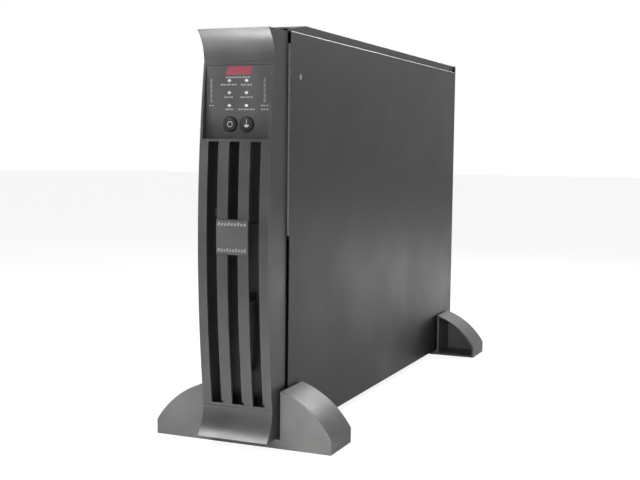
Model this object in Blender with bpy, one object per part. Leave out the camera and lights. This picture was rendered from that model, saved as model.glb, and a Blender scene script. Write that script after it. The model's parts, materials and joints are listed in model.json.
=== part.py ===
"""Rack and tower uninterruptible power supply, standing on its tower feet. Metres, +Z up, front towards -Y.

Every piece is laid out from the chassis's front plane, at Y = 0 of the empty "unit", and from the floor.
"""

import math

import bmesh
import bpy
from mathutils import Matrix, Vector

# Clearances and sheet
GAP = 0.0003
SHEET = 0.001
HOLE_ROOM = 0.0005  # between a hole's edge and what passes through it
LAP = 0.0005  # how far shapes that are joined run into each other
PROUD = 0.0001  # the least step between faces that would otherwise coincide
CUT = 0.01  # how far a cutter runs past what it cuts

# Chassis
CHASSIS_W = 0.085
CHASSIS_D = 0.617
CHASSIS_H = 0.432
COVER_RECESS = 0.003
COVER_BEND_R = 0.0015
STRIP_H = 0.0092
STRIP_LAP = 0.0023
LEAD_IN_D = 0.046
LEAD_IN_H = 0.007
LOWER_FLANGE_H = 0.012
BULKHEAD_Y = 0.0015
COVER_SCREW = (0.0271, 0.0547)  # back from the front, down from the chassis top
COVER_SCREW_R = 0.003
COVER_SET_BACK = 0.0025  # of its front edge, but for the tab that shows beside the bezel
COVER_TAB = (0.212, 0.410)  # the tab's ends, up from the chassis bottom
COVER_TAB_W = 0.0045
COVER_SCREW_SHANK_R = 0.0015
COVER_SCREW_L = 0.007

# Tower feet
FOOT_REACH = 0.1019
FOOT_D = 0.0556
FOOT_FRONT = -0.0227
REAR_FOOT_INSET = 0.0787  # its front face ahead of the rear face
FOOT_PLATE = 0.0067
FOOT_LIP = 0.0094
FOOT_SIDE_GAP = 0.0024
WING_H = 0.0601
WING_TIP_H = 0.0158
WING_BULGE = 0.0067
WING_STEPS = 12
FOOT_WALL = 0.0025
FOOT_SPLIT_X = -0.0087

# Front bezel: its front profile is a long bow between two concave flares
BEZEL_INSET = 0.0025
BEZEL_WALL = 0.0025
BEZEL_TOP_DROP = 0.0104
BEZEL_BOTTOM = 0.0099
BEZEL_REAR = -0.0005
TOP_FLARE_Y = -0.0461
BOTTOM_FLARE_Y = -0.0442
WAIST_Y = -0.0318
FLARE_H = 0.0315
BOW = 0.0126
TOP_FLARE_SAG = 0.0037
BOTTOM_FLARE_SAG = 0.0033
FLARE_STEPS = 9
BOW_STEPS = 24
SLOT_W = 0.012
SLOT_PITCH = 0.024
SLOT_BOTTOM = 0.044
NOTCH_W = 0.0018
NOTCH_H = 0.003
GROOVE_H = 0.0008
GROOVE_DEPTH = 0.0008
LIP_H = 0.0025
LEDGE_H = 0.002
BADGE_W = 0.036
BADGE_H = 0.0348
BADGE_T = 0.0009
CLIP_H = 0.008
CLIP_T = 0.002
CLIP_REACH = 0.009
CLIP_ROOT_Y = -0.012
CLIP_ABOVE_BAY = 0.026
CLIP_BELOW_TOP = 0.028

# Display
DISPLAY_H = 0.0744
DISPLAY_DROP = 0.0458  # its top edge below the chassis top
DISPLAY_FACE_Y = -0.0318
DISPLAY_WALL = 0.0015
DISPLAY_FACE_T = 0.002
BUTTON_X = 0.0094
BUTTON_Z = 0.0147  # above the display's lower edge
BUTTON_R = 0.0065
BUTTON_DISH_R = 0.0086
BUTTON_DISH_DEPTH = 0.0007
BUTTON_TRAVEL = 0.0015
BUTTON_ROOM = 0.0004
BUTTON_RIM = 0.0006  # its rim stands this far out of the panel's face
BUTTON_HOLLOW = 0.0006  # depth of the finger dish in its cap
BUTTON_FLANGE = 0.001
BUTTON_STEM_R = 0.002
BUTTON_STEM_END_Y = -0.0255
LIGHT_COLUMNS = (-0.0107, 0.0087)
LIGHT_ROWS = (0.0337, 0.0466, 0.0589)
LIGHT_R = 0.0016
BAR_COLUMNS = (-0.0316, 0.0289)
BAR_W = 0.0022
BAR_H = 0.0036
BAR_PITCH = 0.0050
BAR_LOWEST = 0.0387
BAR_COUNT = 5
GUIDE_Y = -0.0262
GUIDE_T = 0.002
GUIDE_MARGIN = 0.0005
WINDOW_PAST = 0.001  # how far the window cutters run past the back of the face
DISPLAY_BOARD_Y = -0.0165
DISPLAY_BOARD_EDGE = 0.002
BOARD_T = 0.0016
SWITCH_SIZE = 0.006
PLUNGER_R = 0.0018
PLUNGER_L = 0.002
STANDOFF_R = 0.0025
STANDOFF_INSET = 0.004
RIBBON_W = 0.028
RIBBON_T = 0.0008
RIBBON_DROP = 0.030
RIBBON_SAG = 0.006
RIBBON_END_ROOM = 0.002
RIBBON_SLOT = (0.036, 0.014)
RIBBON_Z = 0.030  # above the display's lower edge, where it leaves the board
RIBBON_SLOT_Z = 0.0175

# Battery module
BATTERY_W = 0.070
BATTERY_D = 0.090
BATTERY_H = 0.101
BATTERY_ROWS = 2
BATTERY_DEEP = 4
TERMINAL = (0.0064, 0.0012)
TERMINAL_REACH = 0.003
TERMINAL_INSET = 0.020
TRAY_SIDE_GAP = 0.003
TRAY_FLANGE = 0.060
TRAY_FRONT_Y = BEZEL_REAR + GAP
TRAY_END_ROOM = 0.004
PLUG_POLE = 0.010
PLUG_POLE_X = 0.009
PLUG_REACH = 0.014
PLUG_DROP = 0.030  # its centre below the tray's top
PLUG_ROOM = 0.001
PLUG_LAP = 0.0015  # what the flange covers beside the hole
PLUG_FLANGE_T = 0.003
PLUG_SOCKET_WALL = 0.004
PLUG_END_ROOM = 0.002
BAY_END_ROOM = 0.006
DOOR_T = 0.0015
DOOR_INSET = 0.001
DOOR_LAP_H = 0.014  # the door's top edge above the bay
HANDLE_L = 0.080
HANDLE_W = 0.012
HANDLE_T = 0.005
HANDLE_REACH = 0.018
THUMBSCREW_R = 0.0055
THUMBSCREW_HEAD_T = 0.007
THUMBSCREW_SHANK_R = 0.002
THUMBSCREW_TIP = 0.004  # its end behind the bulkhead
THUMBSCREW_X = 0.024
THUMBSCREW_RISE = 0.0075  # its axis above the bay

# Electronics
BOARD_STANDOFF = 0.008
BOARD_MARGIN = 0.006
BOARD_FRONT_Y = 0.060
RAIL_H = 0.008
RAIL_INSET = 0.004
RAIL_END_ROOM = 0.010
HEATSINK_Y = (0.300, 0.430)
HEATSINK_H = 0.110
HEATSINK_BASE_T = 0.005
HEATSINK_REACH = 0.058
HEATSINK_FINS = 8
FIN_T = 0.002
CAPACITOR_R = 0.0175
CAPACITOR_L = 0.055
CAPACITOR_Y = (0.200, 0.245)
INDUCTOR_Y = 0.125
INDUCTOR_R = (0.011, 0.026)
INDUCTOR_T = 0.026
INDUCTOR_ROUND = 0.005
CORE_Y = 0.410
CORE_W = 0.120
CORE_H = 0.100
CORE_T = 0.050
CORE_LEG = 0.020
COIL_SIDE = 0.014
BRACKET_T = 0.0024
BRACKET_H = 0.060  # its two ears, up from the core's underside
LEAD_R = 0.003
LEAD_OFF_BOARD = 0.004
LEAD_BACK = 0.030  # its upper end behind the socket
LEAD_UP = 0.012  # its upper end above the board's lower edge
LEAD_STRAIGHT = 0.020
LEAD_CLIMB = 0.030
LEAD_STEPS = 12

# Rear face
REAR_REACH = 0.004
FAN_SIZE = 0.080
FAN_T = 0.025
FAN_WALL = 0.0025
FAN_PITCH = 0.083
FAN_DROP = 0.0525  # upper fan's axis below the chassis top
FAN_SIDES = 32
FAN_ARM_W = 0.004
FAN_ARM_T = 0.0025
MOTOR_T = 0.003
ROTOR_TIP_GAP = 0.0015
ROTOR_ROOM = 0.0005
ROTOR_SET_BACK = 0.002
HUB_R = 0.017
HUB_EDGE = 0.002
BLADES = 7
BLADE_CHORD = 0.020
BLADE_PITCH = math.radians(40)
BLADE_T = 0.0016
BLADE_ROOT = 0.005  # how far a blade runs into the hub
GUARD_WIRE = 0.0016
GUARD_RINGS = (0.34, 0.67, 1.0)  # radii, of the fan's bore
GUARD_INSET = 0.003
GUARD_BAR = (0.003, 0.001)
GUARD_FOOT = (0.005, 0.006)
SLOT_COVER = (0.038, 0.100)
SLOT_COVER_T = 0.0015
SLOT_COVER_LAP = (0.003, 0.007)
SLOT_COVER_Z = 0.208
SLOT_KNOB_R = 0.0025
SLOT_KNOB_INSET = 0.0035
SLOT_KNOB_REACH = 0.0035
FLANGE_JOIN = 0.001  # where a body joins its flange, behind the rear face
OUTLETS = 4
OUTLET_PITCH = 0.027
OUTLET_W = 0.037
OUTLET_Z = 0.0595  # lowest outlet's centre
OUTLET_BODY_D = 0.028
OUTLET_RIM = 0.003
OUTLET_FACE = 0.0025
SOCKET_OUTER = (0.027, 0.020)
SOCKET_INNER = (0.0225, 0.0155)
SOCKET_DEPTH = 0.015
SOCKET_CORNER = 0.3  # of its height
SOCKET_HOLES = ((-0.007, -0.001), (0.007, -0.001), (0, 0.003))
SOCKET_HOLE = (0.002, 0.005)
SOCKET_HOLE_DEPTH = 0.010
ISLAND_DROP = 0.001
INLET_SIZE = (0.034, 0.027)
INLET_Z = 0.0265
INLET_RIM = 0.002
INLET_FACE = 0.003
INLET_WALL = 0.0015
INLET_DEPTH = 0.018
INLET_BACK = 0.008
INLET_BLADE = (0.002, 0.008)
INLET_BLADE_PITCH = 0.0075
INLET_BLADE_DROP = 0.006
COLUMN_X = 0.020
BREAKER_X = (0.0095, 0.0305)
BREAKER_Z = 0.0235
BREAKER_R = 0.0045
BREAKER_NUT_R = 0.0075
BREAKER_STEM_R = 0.0057
BREAKER_FACE = 0.003
BREAKER_DEPTH = 0.012
BREAKER_TAIL = 0.008
BREAKER_EDGE = 0.001
BREAKER_BUTTON_REACH = 0.0035
PORT_Z = {"serial": 0.2435, "usb": 0.2185}
PORT_SHELL = {"serial": (0.0170, 0.0082), "usb": (0.0120, 0.0110)}
PORT_REACH = {"serial": 0.0035, "usb": 0.0010}
INTERFACE_BOARD_W = 0.030
INTERFACE_BOARD_D = 0.030
INTERFACE_MARGIN = 0.012
USB_MOUTH = (0.0085, 0.0078)
USB_DEPTH = 0.008
USB_TONGUE = (0.0056, 0.0032)
BATTERY_PORT_Z = 0.178
BATTERY_PORT = (0.030, 0.030)
BATTERY_PORT_RIM = 0.003
BATTERY_PORT_FACE = 0.002
BATTERY_PORT_REACH = 0.0035
BATTERY_PORT_BODY_D = 0.022
WELL = (0.009, 0.015)
WELL_X = 0.006
WELL_DEPTH = 0.010
WELL_TONGUE = (0.003, 0.009)
TONGUE_ROOT = 0.001  # how far a contact runs into the floor behind it
TONGUE_DROP = 0.001
GROUND_Z = 0.0400
GROUND_HEAD_R = 0.0038
GROUND_HEAD_T = 0.0022
GROUND_HEAD_EDGE = 0.0008
GROUND_SHANK_R = 0.0019
GROUND_L = 0.006

# Worked out
HALF_W = CHASSIS_W / 2
FLOOR_GAP = FOOT_PLATE + GAP
TOP = FLOOR_GAP + CHASSIS_H
COVER_TOP = TOP - STRIP_H
BODY_END = CHASSIS_D - SHEET - GAP
INNER_LEFT = -HALF_W + SHEET + GAP
INNER_RIGHT = HALF_W - COVER_RECESS - SHEET - GAP
INNER_BOTTOM = FLOOR_GAP + SHEET + GAP
BEZEL_HALF = HALF_W - BEZEL_INSET
BEZEL_TOP = TOP - BEZEL_TOP_DROP
DISPLAY_TOP = TOP - DISPLAY_DROP
DISPLAY_BOTTOM = DISPLAY_TOP - DISPLAY_H
WINDOW_TOP = DISPLAY_TOP + GAP
WINDOW_BOTTOM = DISPLAY_BOTTOM - GAP
SLOT_TOP = WINDOW_BOTTOM - LIP_H
BADGE_Z = (BEZEL_TOP + BEZEL_BOTTOM) / 2
DISPLAY_HALF = BEZEL_HALF - BEZEL_WALL - GAP
TRAY_LEFT = -HALF_W + SHEET + TRAY_SIDE_GAP
TRAY_BOTTOM = max(INNER_BOTTOM, FOOT_LIP + GAP)  # it slides out over the front feet
TRAY_TOP = TRAY_BOTTOM + 2 * SHEET + BATTERY_ROWS * (BATTERY_H + GAP) + GAP
TRAY_BACK = TRAY_FRONT_Y + 2 * TRAY_END_ROOM + BATTERY_DEEP * (BATTERY_D + GAP)
BAY_TOP = TRAY_TOP + GAP + SHEET
BAY_BACK = TRAY_BACK + BAY_END_ROOM
PLUG_Z = TRAY_TOP - PLUG_DROP
PLUG_SOCKET_END = TRAY_BACK + GAP + PLUG_REACH + PLUG_END_ROOM + PLUG_SOCKET_WALL
DOOR_Y = TRAY_FRONT_Y - GAP - DOOR_T
DOOR_TOP = BAY_TOP + DOOR_LAP_H
THUMBSCREW_Z = BAY_TOP + THUMBSCREW_RISE
BOARD_X = -HALF_W + SHEET + BOARD_STANDOFF
BOARD_LOW = BAY_TOP + BOARD_MARGIN
BOARD_HIGH = COVER_TOP - BOARD_MARGIN
BOARD_BACK = BODY_END - FAN_T - BOARD_MARGIN
BOARD_FACE = BOARD_X + BOARD_T + GAP
FAN_CENTRES = (TOP - FAN_DROP, TOP - FAN_DROP - FAN_PITCH)
STRIP_HEIGHT = OUTLETS * OUTLET_PITCH
OVERALL_D = -TOP_FLARE_Y + CHASSIS_D + REAR_REACH
CHASSIS_FRONT = -TOP_FLARE_Y - OVERALL_D / 2
QUARTER_BULGE = 1 - math.sqrt(0.5)  # a quarter circle's rise over its chord, for a radius of 1

# Each look is a base colour, a roughness and a metallic value
LOOKS = {
    "powder_coat": ((0.085, 0.085, 0.083), 0.55, 0.0),
    "plated_steel": ((0.52, 0.52, 0.50), 0.35, 1.0),
    "dark_plastic": ((0.075, 0.075, 0.074), 0.45, 0.0),
    "foot_plastic": ((0.16, 0.16, 0.157), 0.45, 0.0),
    "panel_plastic": ((0.060, 0.060, 0.060), 0.35, 0.0),
    "button_plastic": ((0.22, 0.22, 0.22), 0.35, 0.0),
    "badge_metal": ((0.19, 0.19, 0.19), 0.35, 0.6),
    "light_plastic": ((0.80, 0.80, 0.76), 0.25, 0.0),
    "black_plastic": ((0.015, 0.015, 0.015), 0.45, 0.0),
    "red_plastic": ((0.55, 0.03, 0.02), 0.4, 0.0),
    "board_green": ((0.02, 0.16, 0.07), 0.5, 0.0),
    "copper": ((0.62, 0.24, 0.09), 0.35, 1.0),
    "core_steel": ((0.20, 0.20, 0.21), 0.5, 0.9),
    "aluminium": ((0.72, 0.72, 0.74), 0.35, 1.0),
    "battery_case": ((0.07, 0.07, 0.08), 0.6, 0.0),
}


# Shapes: each call returns a function that adds one closed shape to a bmesh


def place(axis, across, up, along):
    """A point, from its two coordinates across an axis and its place along that axis."""
    return {"X": (along, across, up), "Y": (across, along, up), "Z": (across, up, along)}[axis]


def box(low, high):
    def add(bm):
        corners = bmesh.ops.create_cube(bm, size=1.0)["verts"]
        bmesh.ops.scale(bm, vec=[b - a for a, b in zip(low, high)], verts=corners)
        bmesh.ops.translate(bm, vec=[(a + b) / 2 for a, b in zip(low, high)], verts=corners)

    return add


def plate(axis, centre, size, start, end):
    """A box from its centre and size across an axis, and its ends along it."""
    low = place(axis, centre[0] - size[0] / 2, centre[1] - size[1] / 2, start)
    high = place(axis, centre[0] + size[0] / 2, centre[1] + size[1] / 2, end)
    return box(low, high)


def prism(axis, outline, start, end):
    def add(bm):
        face = bm.faces.new([bm.verts.new(place(axis, u, v, start)) for u, v in outline])
        grown = bmesh.ops.extrude_face_region(bm, geom=[face])["geom"]
        moved = [item for item in grown if isinstance(item, bmesh.types.BMVert)]
        bmesh.ops.translate(bm, vec=place(axis, 0, 0, end - start), verts=moved)

    return add


def turned(axis, centre, profile, sides=24):
    """Spins a closed profile of (radius, place along the axis) points round the axis."""

    def add(bm):
        ring = [bm.verts.new(place(axis, centre[0] + r, centre[1], along)) for r, along in profile]
        edges = [bm.edges.new(pair) for pair in zip(ring, ring[1:] + ring[:1])]
        pivot = place(axis, centre[0], centre[1], 0)
        line = place(axis, 0, 0, 1)
        bmesh.ops.spin(
            bm, geom=ring + edges, cent=pivot, axis=line, angle=math.tau, steps=sides, use_merge=True
        )
        bmesh.ops.remove_doubles(bm, verts=bm.verts, dist=1e-6)
        flat = [edge for edge in bm.edges if not edge.link_faces]
        bmesh.ops.delete(bm, geom=flat, context="EDGES")

    return add


def rod(axis, centre, radius, start, end, sides=24):
    def add(bm):
        outline = [
            (centre[0] + radius * math.cos(turn), centre[1] + radius * math.sin(turn))
            for turn in (math.tau * step / sides for step in range(sides))
        ]
        prism(axis, outline, start, end)(bm)

    return add


# Lines


def arc(start, end, bulge, steps):
    """Points along a circular arc that stands off its chord by bulge, to the left of start to end."""
    start, end = Vector(start), Vector(end)
    chord = end - start
    left = Vector((-chord.y, chord.x)).normalized()
    radius = chord.length**2 / (8 * abs(bulge)) + abs(bulge) / 2
    side = math.copysign(1, bulge)
    centre = (start + end) / 2 + left * (bulge - side * radius)
    half = math.asin(chord.length / (2 * radius))
    middle = left * side * radius
    turns = [half * (1 - 2 * step / steps) * side for step in range(steps + 1)]
    return [tuple(centre + Vector(turned_by(middle, turn))) for turn in turns]


def turned_by(vector, angle):
    cos, sin = math.cos(angle), math.sin(angle)
    return (vector.x * cos - vector.y * sin, vector.x * sin + vector.y * cos)


def offset_line(line, distance):
    """The line moved to its left by a distance."""
    moved = []
    for index, point in enumerate(line):
        before = Vector(line[max(index - 1, 0)])
        after = Vector(line[min(index + 1, len(line) - 1)])
        along = (after - before).normalized()
        moved.append((point[0] - along.y * distance, point[1] + along.x * distance))
    return moved


def between(line, low, high):
    """The stretch of a falling line between two heights, with a point at each of them."""
    kept = [point for point in line if low < point[1] < high]
    return [(height_point(line, high))] + kept + [(height_point(line, low))]


def height_point(line, height):
    for (y1, z1), (y2, z2) in zip(line, line[1:]):
        if z2 <= height <= z1:
            return (y1 + (y2 - y1) * (z1 - height) / (z1 - z2), height)
    end = line[0] if height > line[0][1] else line[-1]
    return (end[0], height)


# Objects


def material(name, look):
    colour, roughness, metallic = LOOKS[look]
    made = bpy.data.materials.new(name)
    made.use_nodes = True
    shader = made.node_tree.nodes["Principled BSDF"]
    shader.inputs["Base Color"].default_value = (*colour, 1.0)
    shader.inputs["Roughness"].default_value = roughness
    shader.inputs["Metallic"].default_value = metallic
    return made


def mesh_object(name, shapes, origin, unit):
    bm = bmesh.new()
    for shape in shapes:
        part = bmesh.new()
        shape(part)
        bmesh.ops.recalc_face_normals(part, faces=part.faces)
        mesh = bpy.data.meshes.new("shape")
        part.to_mesh(mesh)
        bm.from_mesh(mesh)
        part.free()
        bpy.data.meshes.remove(mesh)
    bmesh.ops.translate(bm, vec=-Vector(origin), verts=bm.verts)
    mesh = bpy.data.meshes.new(name)
    bm.to_mesh(mesh)
    bm.free()
    made = bpy.data.objects.new(name, mesh)
    made.location = origin
    made.parent = unit
    bpy.context.scene.collection.objects.link(made)
    return made


def boolean(target, operation, tool):
    tool.hide_render = True
    tool.display_type = "WIRE"
    modifier = target.modifiers.new(tool.name, "BOOLEAN")
    modifier.operation = operation
    modifier.solver = "EXACT"
    modifier.object = tool


def piece(unit, name, look, base, join=(), cut=(), origin=(0, 0, 0), smooth=False):
    """One node: a base shape, with shapes joined to it, and then separate shapes cut away from it."""
    made = mesh_object(name, [base], origin, unit)
    for index, shape in enumerate(join):
        boolean(made, "UNION", mesh_object(f"{name}_join_{index}", [shape], origin, unit))
    if cut:
        boolean(made, "DIFFERENCE", mesh_object(f"{name}_cut", cut, origin, unit))
    made.data.materials.append(material(name, look))
    if smooth:
        made.data.shade_smooth()
        made.data.set_sharp_from_angle(angle=math.radians(35))
    return made


# Chassis


def side_outline(low):
    """The chassis seen from its side above a height, with the sloped lead-in at its front top corner."""
    return [(0, low), (BODY_END, low), (BODY_END, TOP), (LEAD_IN_D, TOP), (0, TOP - LEAD_IN_H)]


def make_chassis_base(unit):
    left_wall = prism("X", side_outline(FLOOR_GAP), -HALF_W, -HALF_W + SHEET)
    top_line = [(0, TOP - LEAD_IN_H), (LEAD_IN_D, TOP), (BODY_END, TOP)]
    under_line = [(y, z - SHEET) for y, z in reversed(top_line)]
    strip_right = HALF_W - COVER_RECESS
    top_wall = prism("X", top_line + under_line, -HALF_W, strip_right)
    strip = prism("X", side_outline(COVER_TOP - STRIP_LAP), strip_right - SHEET, strip_right)
    bottom_right = HALF_W - SHEET - GAP
    bottom_wall = box((-HALF_W, 0, FLOOR_GAP), (bottom_right, BODY_END, FLOOR_GAP + SHEET))
    flange = box(
        (bottom_right - SHEET, 0, FLOOR_GAP), (bottom_right, BODY_END, FLOOR_GAP + LOWER_FLANGE_H)
    )
    piece(unit, "chassis_base", "powder_coat", left_wall, join=[top_wall, bottom_wall, strip, flange])


def make_side_cover(unit):
    bend_ends = ((HALF_W, COVER_TOP - COVER_BEND_R), (HALF_W - COVER_BEND_R, COVER_TOP))
    bend = arc(*bend_ends, -COVER_BEND_R * QUARTER_BULGE, 5)
    outline = [(HALF_W - SHEET, FLOOR_GAP), (HALF_W, FLOOR_GAP)] + bend
    lip = HALF_W - COVER_RECESS + GAP
    outline += [(lip, COVER_TOP), (lip, COVER_TOP - SHEET), (HALF_W - SHEET, COVER_TOP - SHEET)]
    screw = (COVER_SCREW[0], TOP - COVER_SCREW[1])
    cuts = [rod("X", screw, COVER_SCREW_R + GAP, HALF_W - CUT, HALF_W + CUT)]
    tab_low, tab_high = (FLOOR_GAP + height for height in COVER_TAB)
    for low, high in ((0, tab_low), (tab_high, TOP + CUT)):
        cuts.append(box((0, -CUT, low), (HALF_W + CUT, COVER_SET_BACK, high)))
    tab = box(
        (HALF_W - COVER_TAB_W, PROUD, tab_low + PROUD), (HALF_W - SHEET / 2, SHEET, tab_high - PROUD)
    )
    cover = prism("Y", outline, 0, BODY_END)
    piece(unit, "side_cover", "powder_coat", cover, join=[tab], cut=cuts)
    face, end = HALF_W - PROUD, HALF_W - COVER_SCREW_L
    profile = [(0, face), (COVER_SCREW_R, face), (COVER_SCREW_R, HALF_W - SHEET)]
    profile += [(COVER_SCREW_SHANK_R, HALF_W - 2 * SHEET), (COVER_SCREW_SHANK_R, end), (0, end)]
    piece(unit, "cover_screw", "plated_steel", turned("X", screw, profile, 16), smooth=True)


def rear_holes():
    """Every cut-out of the rear panel, a clearance larger than what passes through it."""
    start, end = CHASSIS_D - CUT, CHASSIS_D + CUT
    holes = [rod("Y", (0, z), FAN_SIZE / 2 - FAN_WALL, start, end, FAN_SIDES) for z in FAN_CENTRES]

    def opening(centre, size):
        roomy = (size[0] + 2 * HOLE_ROOM, size[1] + 2 * HOLE_ROOM)
        holes.append(plate("Y", centre, roomy, start, end))

    for x in (-COLUMN_X, COLUMN_X):
        opening((x, outlet_middle()), smaller((OUTLET_W, STRIP_HEIGHT), OUTLET_RIM))
    opening((-COLUMN_X, INLET_Z), smaller(INLET_SIZE, INLET_RIM))
    opening((COLUMN_X, BATTERY_PORT_Z), smaller(BATTERY_PORT, BATTERY_PORT_RIM))
    for port, z in PORT_Z.items():
        opening((COLUMN_X, z), PORT_SHELL[port])
    slot = (SLOT_COVER[0] - 2 * SLOT_COVER_LAP[0], SLOT_COVER[1] - 2 * SLOT_COVER_LAP[1])
    holes.append(plate("Y", (-COLUMN_X, SLOT_COVER_Z), slot, start, end))
    holes += [rod("Y", (x, BREAKER_Z), BREAKER_STEM_R + GAP, start, end) for x in BREAKER_X]
    holes.append(rod("Y", (COLUMN_X, GROUND_Z), GROUND_SHANK_R + GAP, start, end, 12))
    return holes


def smaller(size, rim):
    """A size with a rim taken off all round."""
    return (size[0] - 2 * rim, size[1] - 2 * rim)


def outlet_middle():
    return OUTLET_Z + (OUTLETS - 1) / 2 * OUTLET_PITCH


def make_rear_panel(unit):
    panel = box((-HALF_W, CHASSIS_D - SHEET, FLOOR_GAP), (HALF_W, CHASSIS_D, TOP))
    piece(unit, "rear_panel", "powder_coat", panel, cut=rear_holes())


def clip_heights():
    return (BAY_TOP + CLIP_ABOVE_BAY, TOP - CLIP_BELOW_TOP)


def make_front_bulkhead(unit):
    high = TOP - LEAD_IN_H - SHEET - GAP
    low = BAY_TOP + GAP
    wall = box((INNER_LEFT, BULKHEAD_Y, low), (INNER_RIGHT, BULKHEAD_Y + SHEET, high))
    cuts = []
    reach = BEZEL_HALF - BEZEL_WALL - CLIP_T
    for side in (-1, 1):
        left, right = sorted((side * (reach - HOLE_ROOM), side * (HALF_W + CUT)))
        for z in clip_heights():
            notch = CLIP_H / 2 + 2 * HOLE_ROOM
            cuts.append(box((left, -CUT, z - notch), (right, CUT, z + notch)))
        cuts.append(rod("Y", (side * THUMBSCREW_X, THUMBSCREW_Z), THUMBSCREW_SHANK_R + GAP, -CUT, CUT, 16))
    cuts.append(plate("Y", (0, DISPLAY_BOTTOM + RIBBON_SLOT_Z), RIBBON_SLOT, -CUT, CUT))
    piece(unit, "front_bulkhead", "powder_coat", wall, cut=cuts)


def make_battery_bay_wall(unit):
    start = BULKHEAD_Y + SHEET + GAP
    back = BAY_BACK + SHEET
    under = BAY_TOP - SHEET
    outline = [(start, under), (start, BAY_TOP), (back, BAY_TOP), (back, INNER_BOTTOM)]
    outline += [(BAY_BACK, INNER_BOTTOM), (BAY_BACK, under)]
    right = HALF_W - 2 * SHEET - 2 * GAP
    hole = plate("Y", (0, PLUG_Z), plug_hole(), BAY_BACK - CUT, BAY_BACK + CUT)
    piece(unit, "battery_bay_wall", "plated_steel", prism("X", outline, INNER_LEFT, right), cut=[hole])


def plug_hole():
    return (2 * (PLUG_POLE_X + PLUG_ROOM) + PLUG_POLE, PLUG_POLE + 2 * PLUG_ROOM)


# Tower feet


def wing_curve(inset):
    """The curved edge of a wing, from its tip to its side by the chassis, some way inside it."""
    inner = HALF_W + FOOT_SIDE_GAP + inset
    return arc((FOOT_REACH - inset, WING_TIP_H - inset), (inner, WING_H - inset), -WING_BULGE, WING_STEPS)


def foot_outline(side, lip):
    """A foot seen from the front: the plate under the chassis and the wing beside it."""
    split = FOOT_SPLIT_X * side + GAP / 2
    inner = HALF_W + FOOT_SIDE_GAP
    outline = [(split, 0), (FOOT_REACH, 0)] + wing_curve(0) + [(inner, lip), (split, lip)]
    return [(side * x, z) for x, z in outline]


def pocket_outline(side):
    """The hollow of a wing, one wall inside its outline."""
    inner, tip = HALF_W + FOOT_SIDE_GAP + FOOT_WALL, FOOT_REACH - FOOT_WALL
    outline = [(inner, FOOT_WALL), (tip, FOOT_WALL)] + wing_curve(FOOT_WALL)
    return [(side * x, z) for x, z in outline]


def make_feet(unit):
    """Hollow wings: the front ones open towards the back, and the rear ones towards the front."""
    for side, hand in ((-1, "left"), (1, "right")):
        front, back = FOOT_FRONT, FOOT_FRONT + FOOT_D
        body = prism("Y", foot_outline(side, FOOT_PLATE), front, back)
        lip = prism("Y", foot_outline(side, FOOT_LIP), front, -GAP)
        pocket = prism("Y", pocket_outline(side), front + FOOT_WALL, back + FOOT_WALL)
        piece(unit, f"front_foot_{hand}", "foot_plastic", body, join=[lip], cut=[pocket])
        front = CHASSIS_D - REAR_FOOT_INSET
        back = front + FOOT_D
        body = prism("Y", foot_outline(side, FOOT_PLATE), front, back)
        pocket = prism("Y", pocket_outline(side), front - FOOT_WALL, back - FOOT_WALL)
        piece(unit, f"rear_foot_{hand}", "foot_plastic", body, cut=[pocket])


# Front bezel


def bezel_line():
    """The bezel's front, from its top edge to its bottom edge, as (Y, Z) points."""
    waist_high = (WAIST_Y, BEZEL_TOP - FLARE_H)
    waist_low = (WAIST_Y, BEZEL_BOTTOM + FLARE_H)
    top = arc((TOP_FLARE_Y, BEZEL_TOP), waist_high, TOP_FLARE_SAG, FLARE_STEPS)
    bow = arc(waist_high, waist_low, -BOW, BOW_STEPS)
    bottom = arc(waist_low, (BOTTOM_FLARE_Y, BEZEL_BOTTOM), BOTTOM_FLARE_SAG, FLARE_STEPS)
    return top + bow[1:-1] + bottom


def bezel_cavity(low, high):
    line = between(offset_line(bezel_line(), BEZEL_WALL), low, high)
    outline = [(CUT, high)] + line + [(CUT, low)]
    half = BEZEL_HALF - BEZEL_WALL
    return prism("X", outline, -half, half)


def slot_boxes():
    """Three upright vents; the middle one is split by the pad behind the badge."""
    pad = BADGE_H / 2 + 2 * GAP
    spans = {
        -1: [(SLOT_BOTTOM, SLOT_TOP)],
        0: [(SLOT_BOTTOM, BADGE_Z - pad), (BADGE_Z + pad, SLOT_TOP)],
        1: [(SLOT_BOTTOM, SLOT_TOP)],
    }
    half = SLOT_W / 2
    front, back = TOP_FLARE_Y - CUT, WAIST_Y + 2 * BEZEL_WALL
    boxes = []
    for column, stretches in spans.items():
        middle = column * SLOT_PITCH
        for low, high in stretches:
            boxes.append(box((middle - half, front, low), (middle + half, back, high)))
        notch_high = SLOT_BOTTOM + NOTCH_H
        notch_low = SLOT_BOTTOM + GAP
        edge = middle + half
        boxes.append(box((edge - NOTCH_W, front, notch_low), (edge + NOTCH_W, back, notch_high)))
    return boxes


def waist_grooves():
    """A fine groove across the front at each waist, where a flare meets the bow."""
    front, back = WAIST_Y - CUT, WAIST_Y + GROOVE_DEPTH
    width = BEZEL_HALF + CUT
    lows = (BEZEL_TOP - FLARE_H - GROOVE_H / 2, BEZEL_BOTTOM + FLARE_H - GROOVE_H / 2)
    return [box((-width, front, low), (width, back, low + GROOVE_H)) for low in lows]


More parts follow.
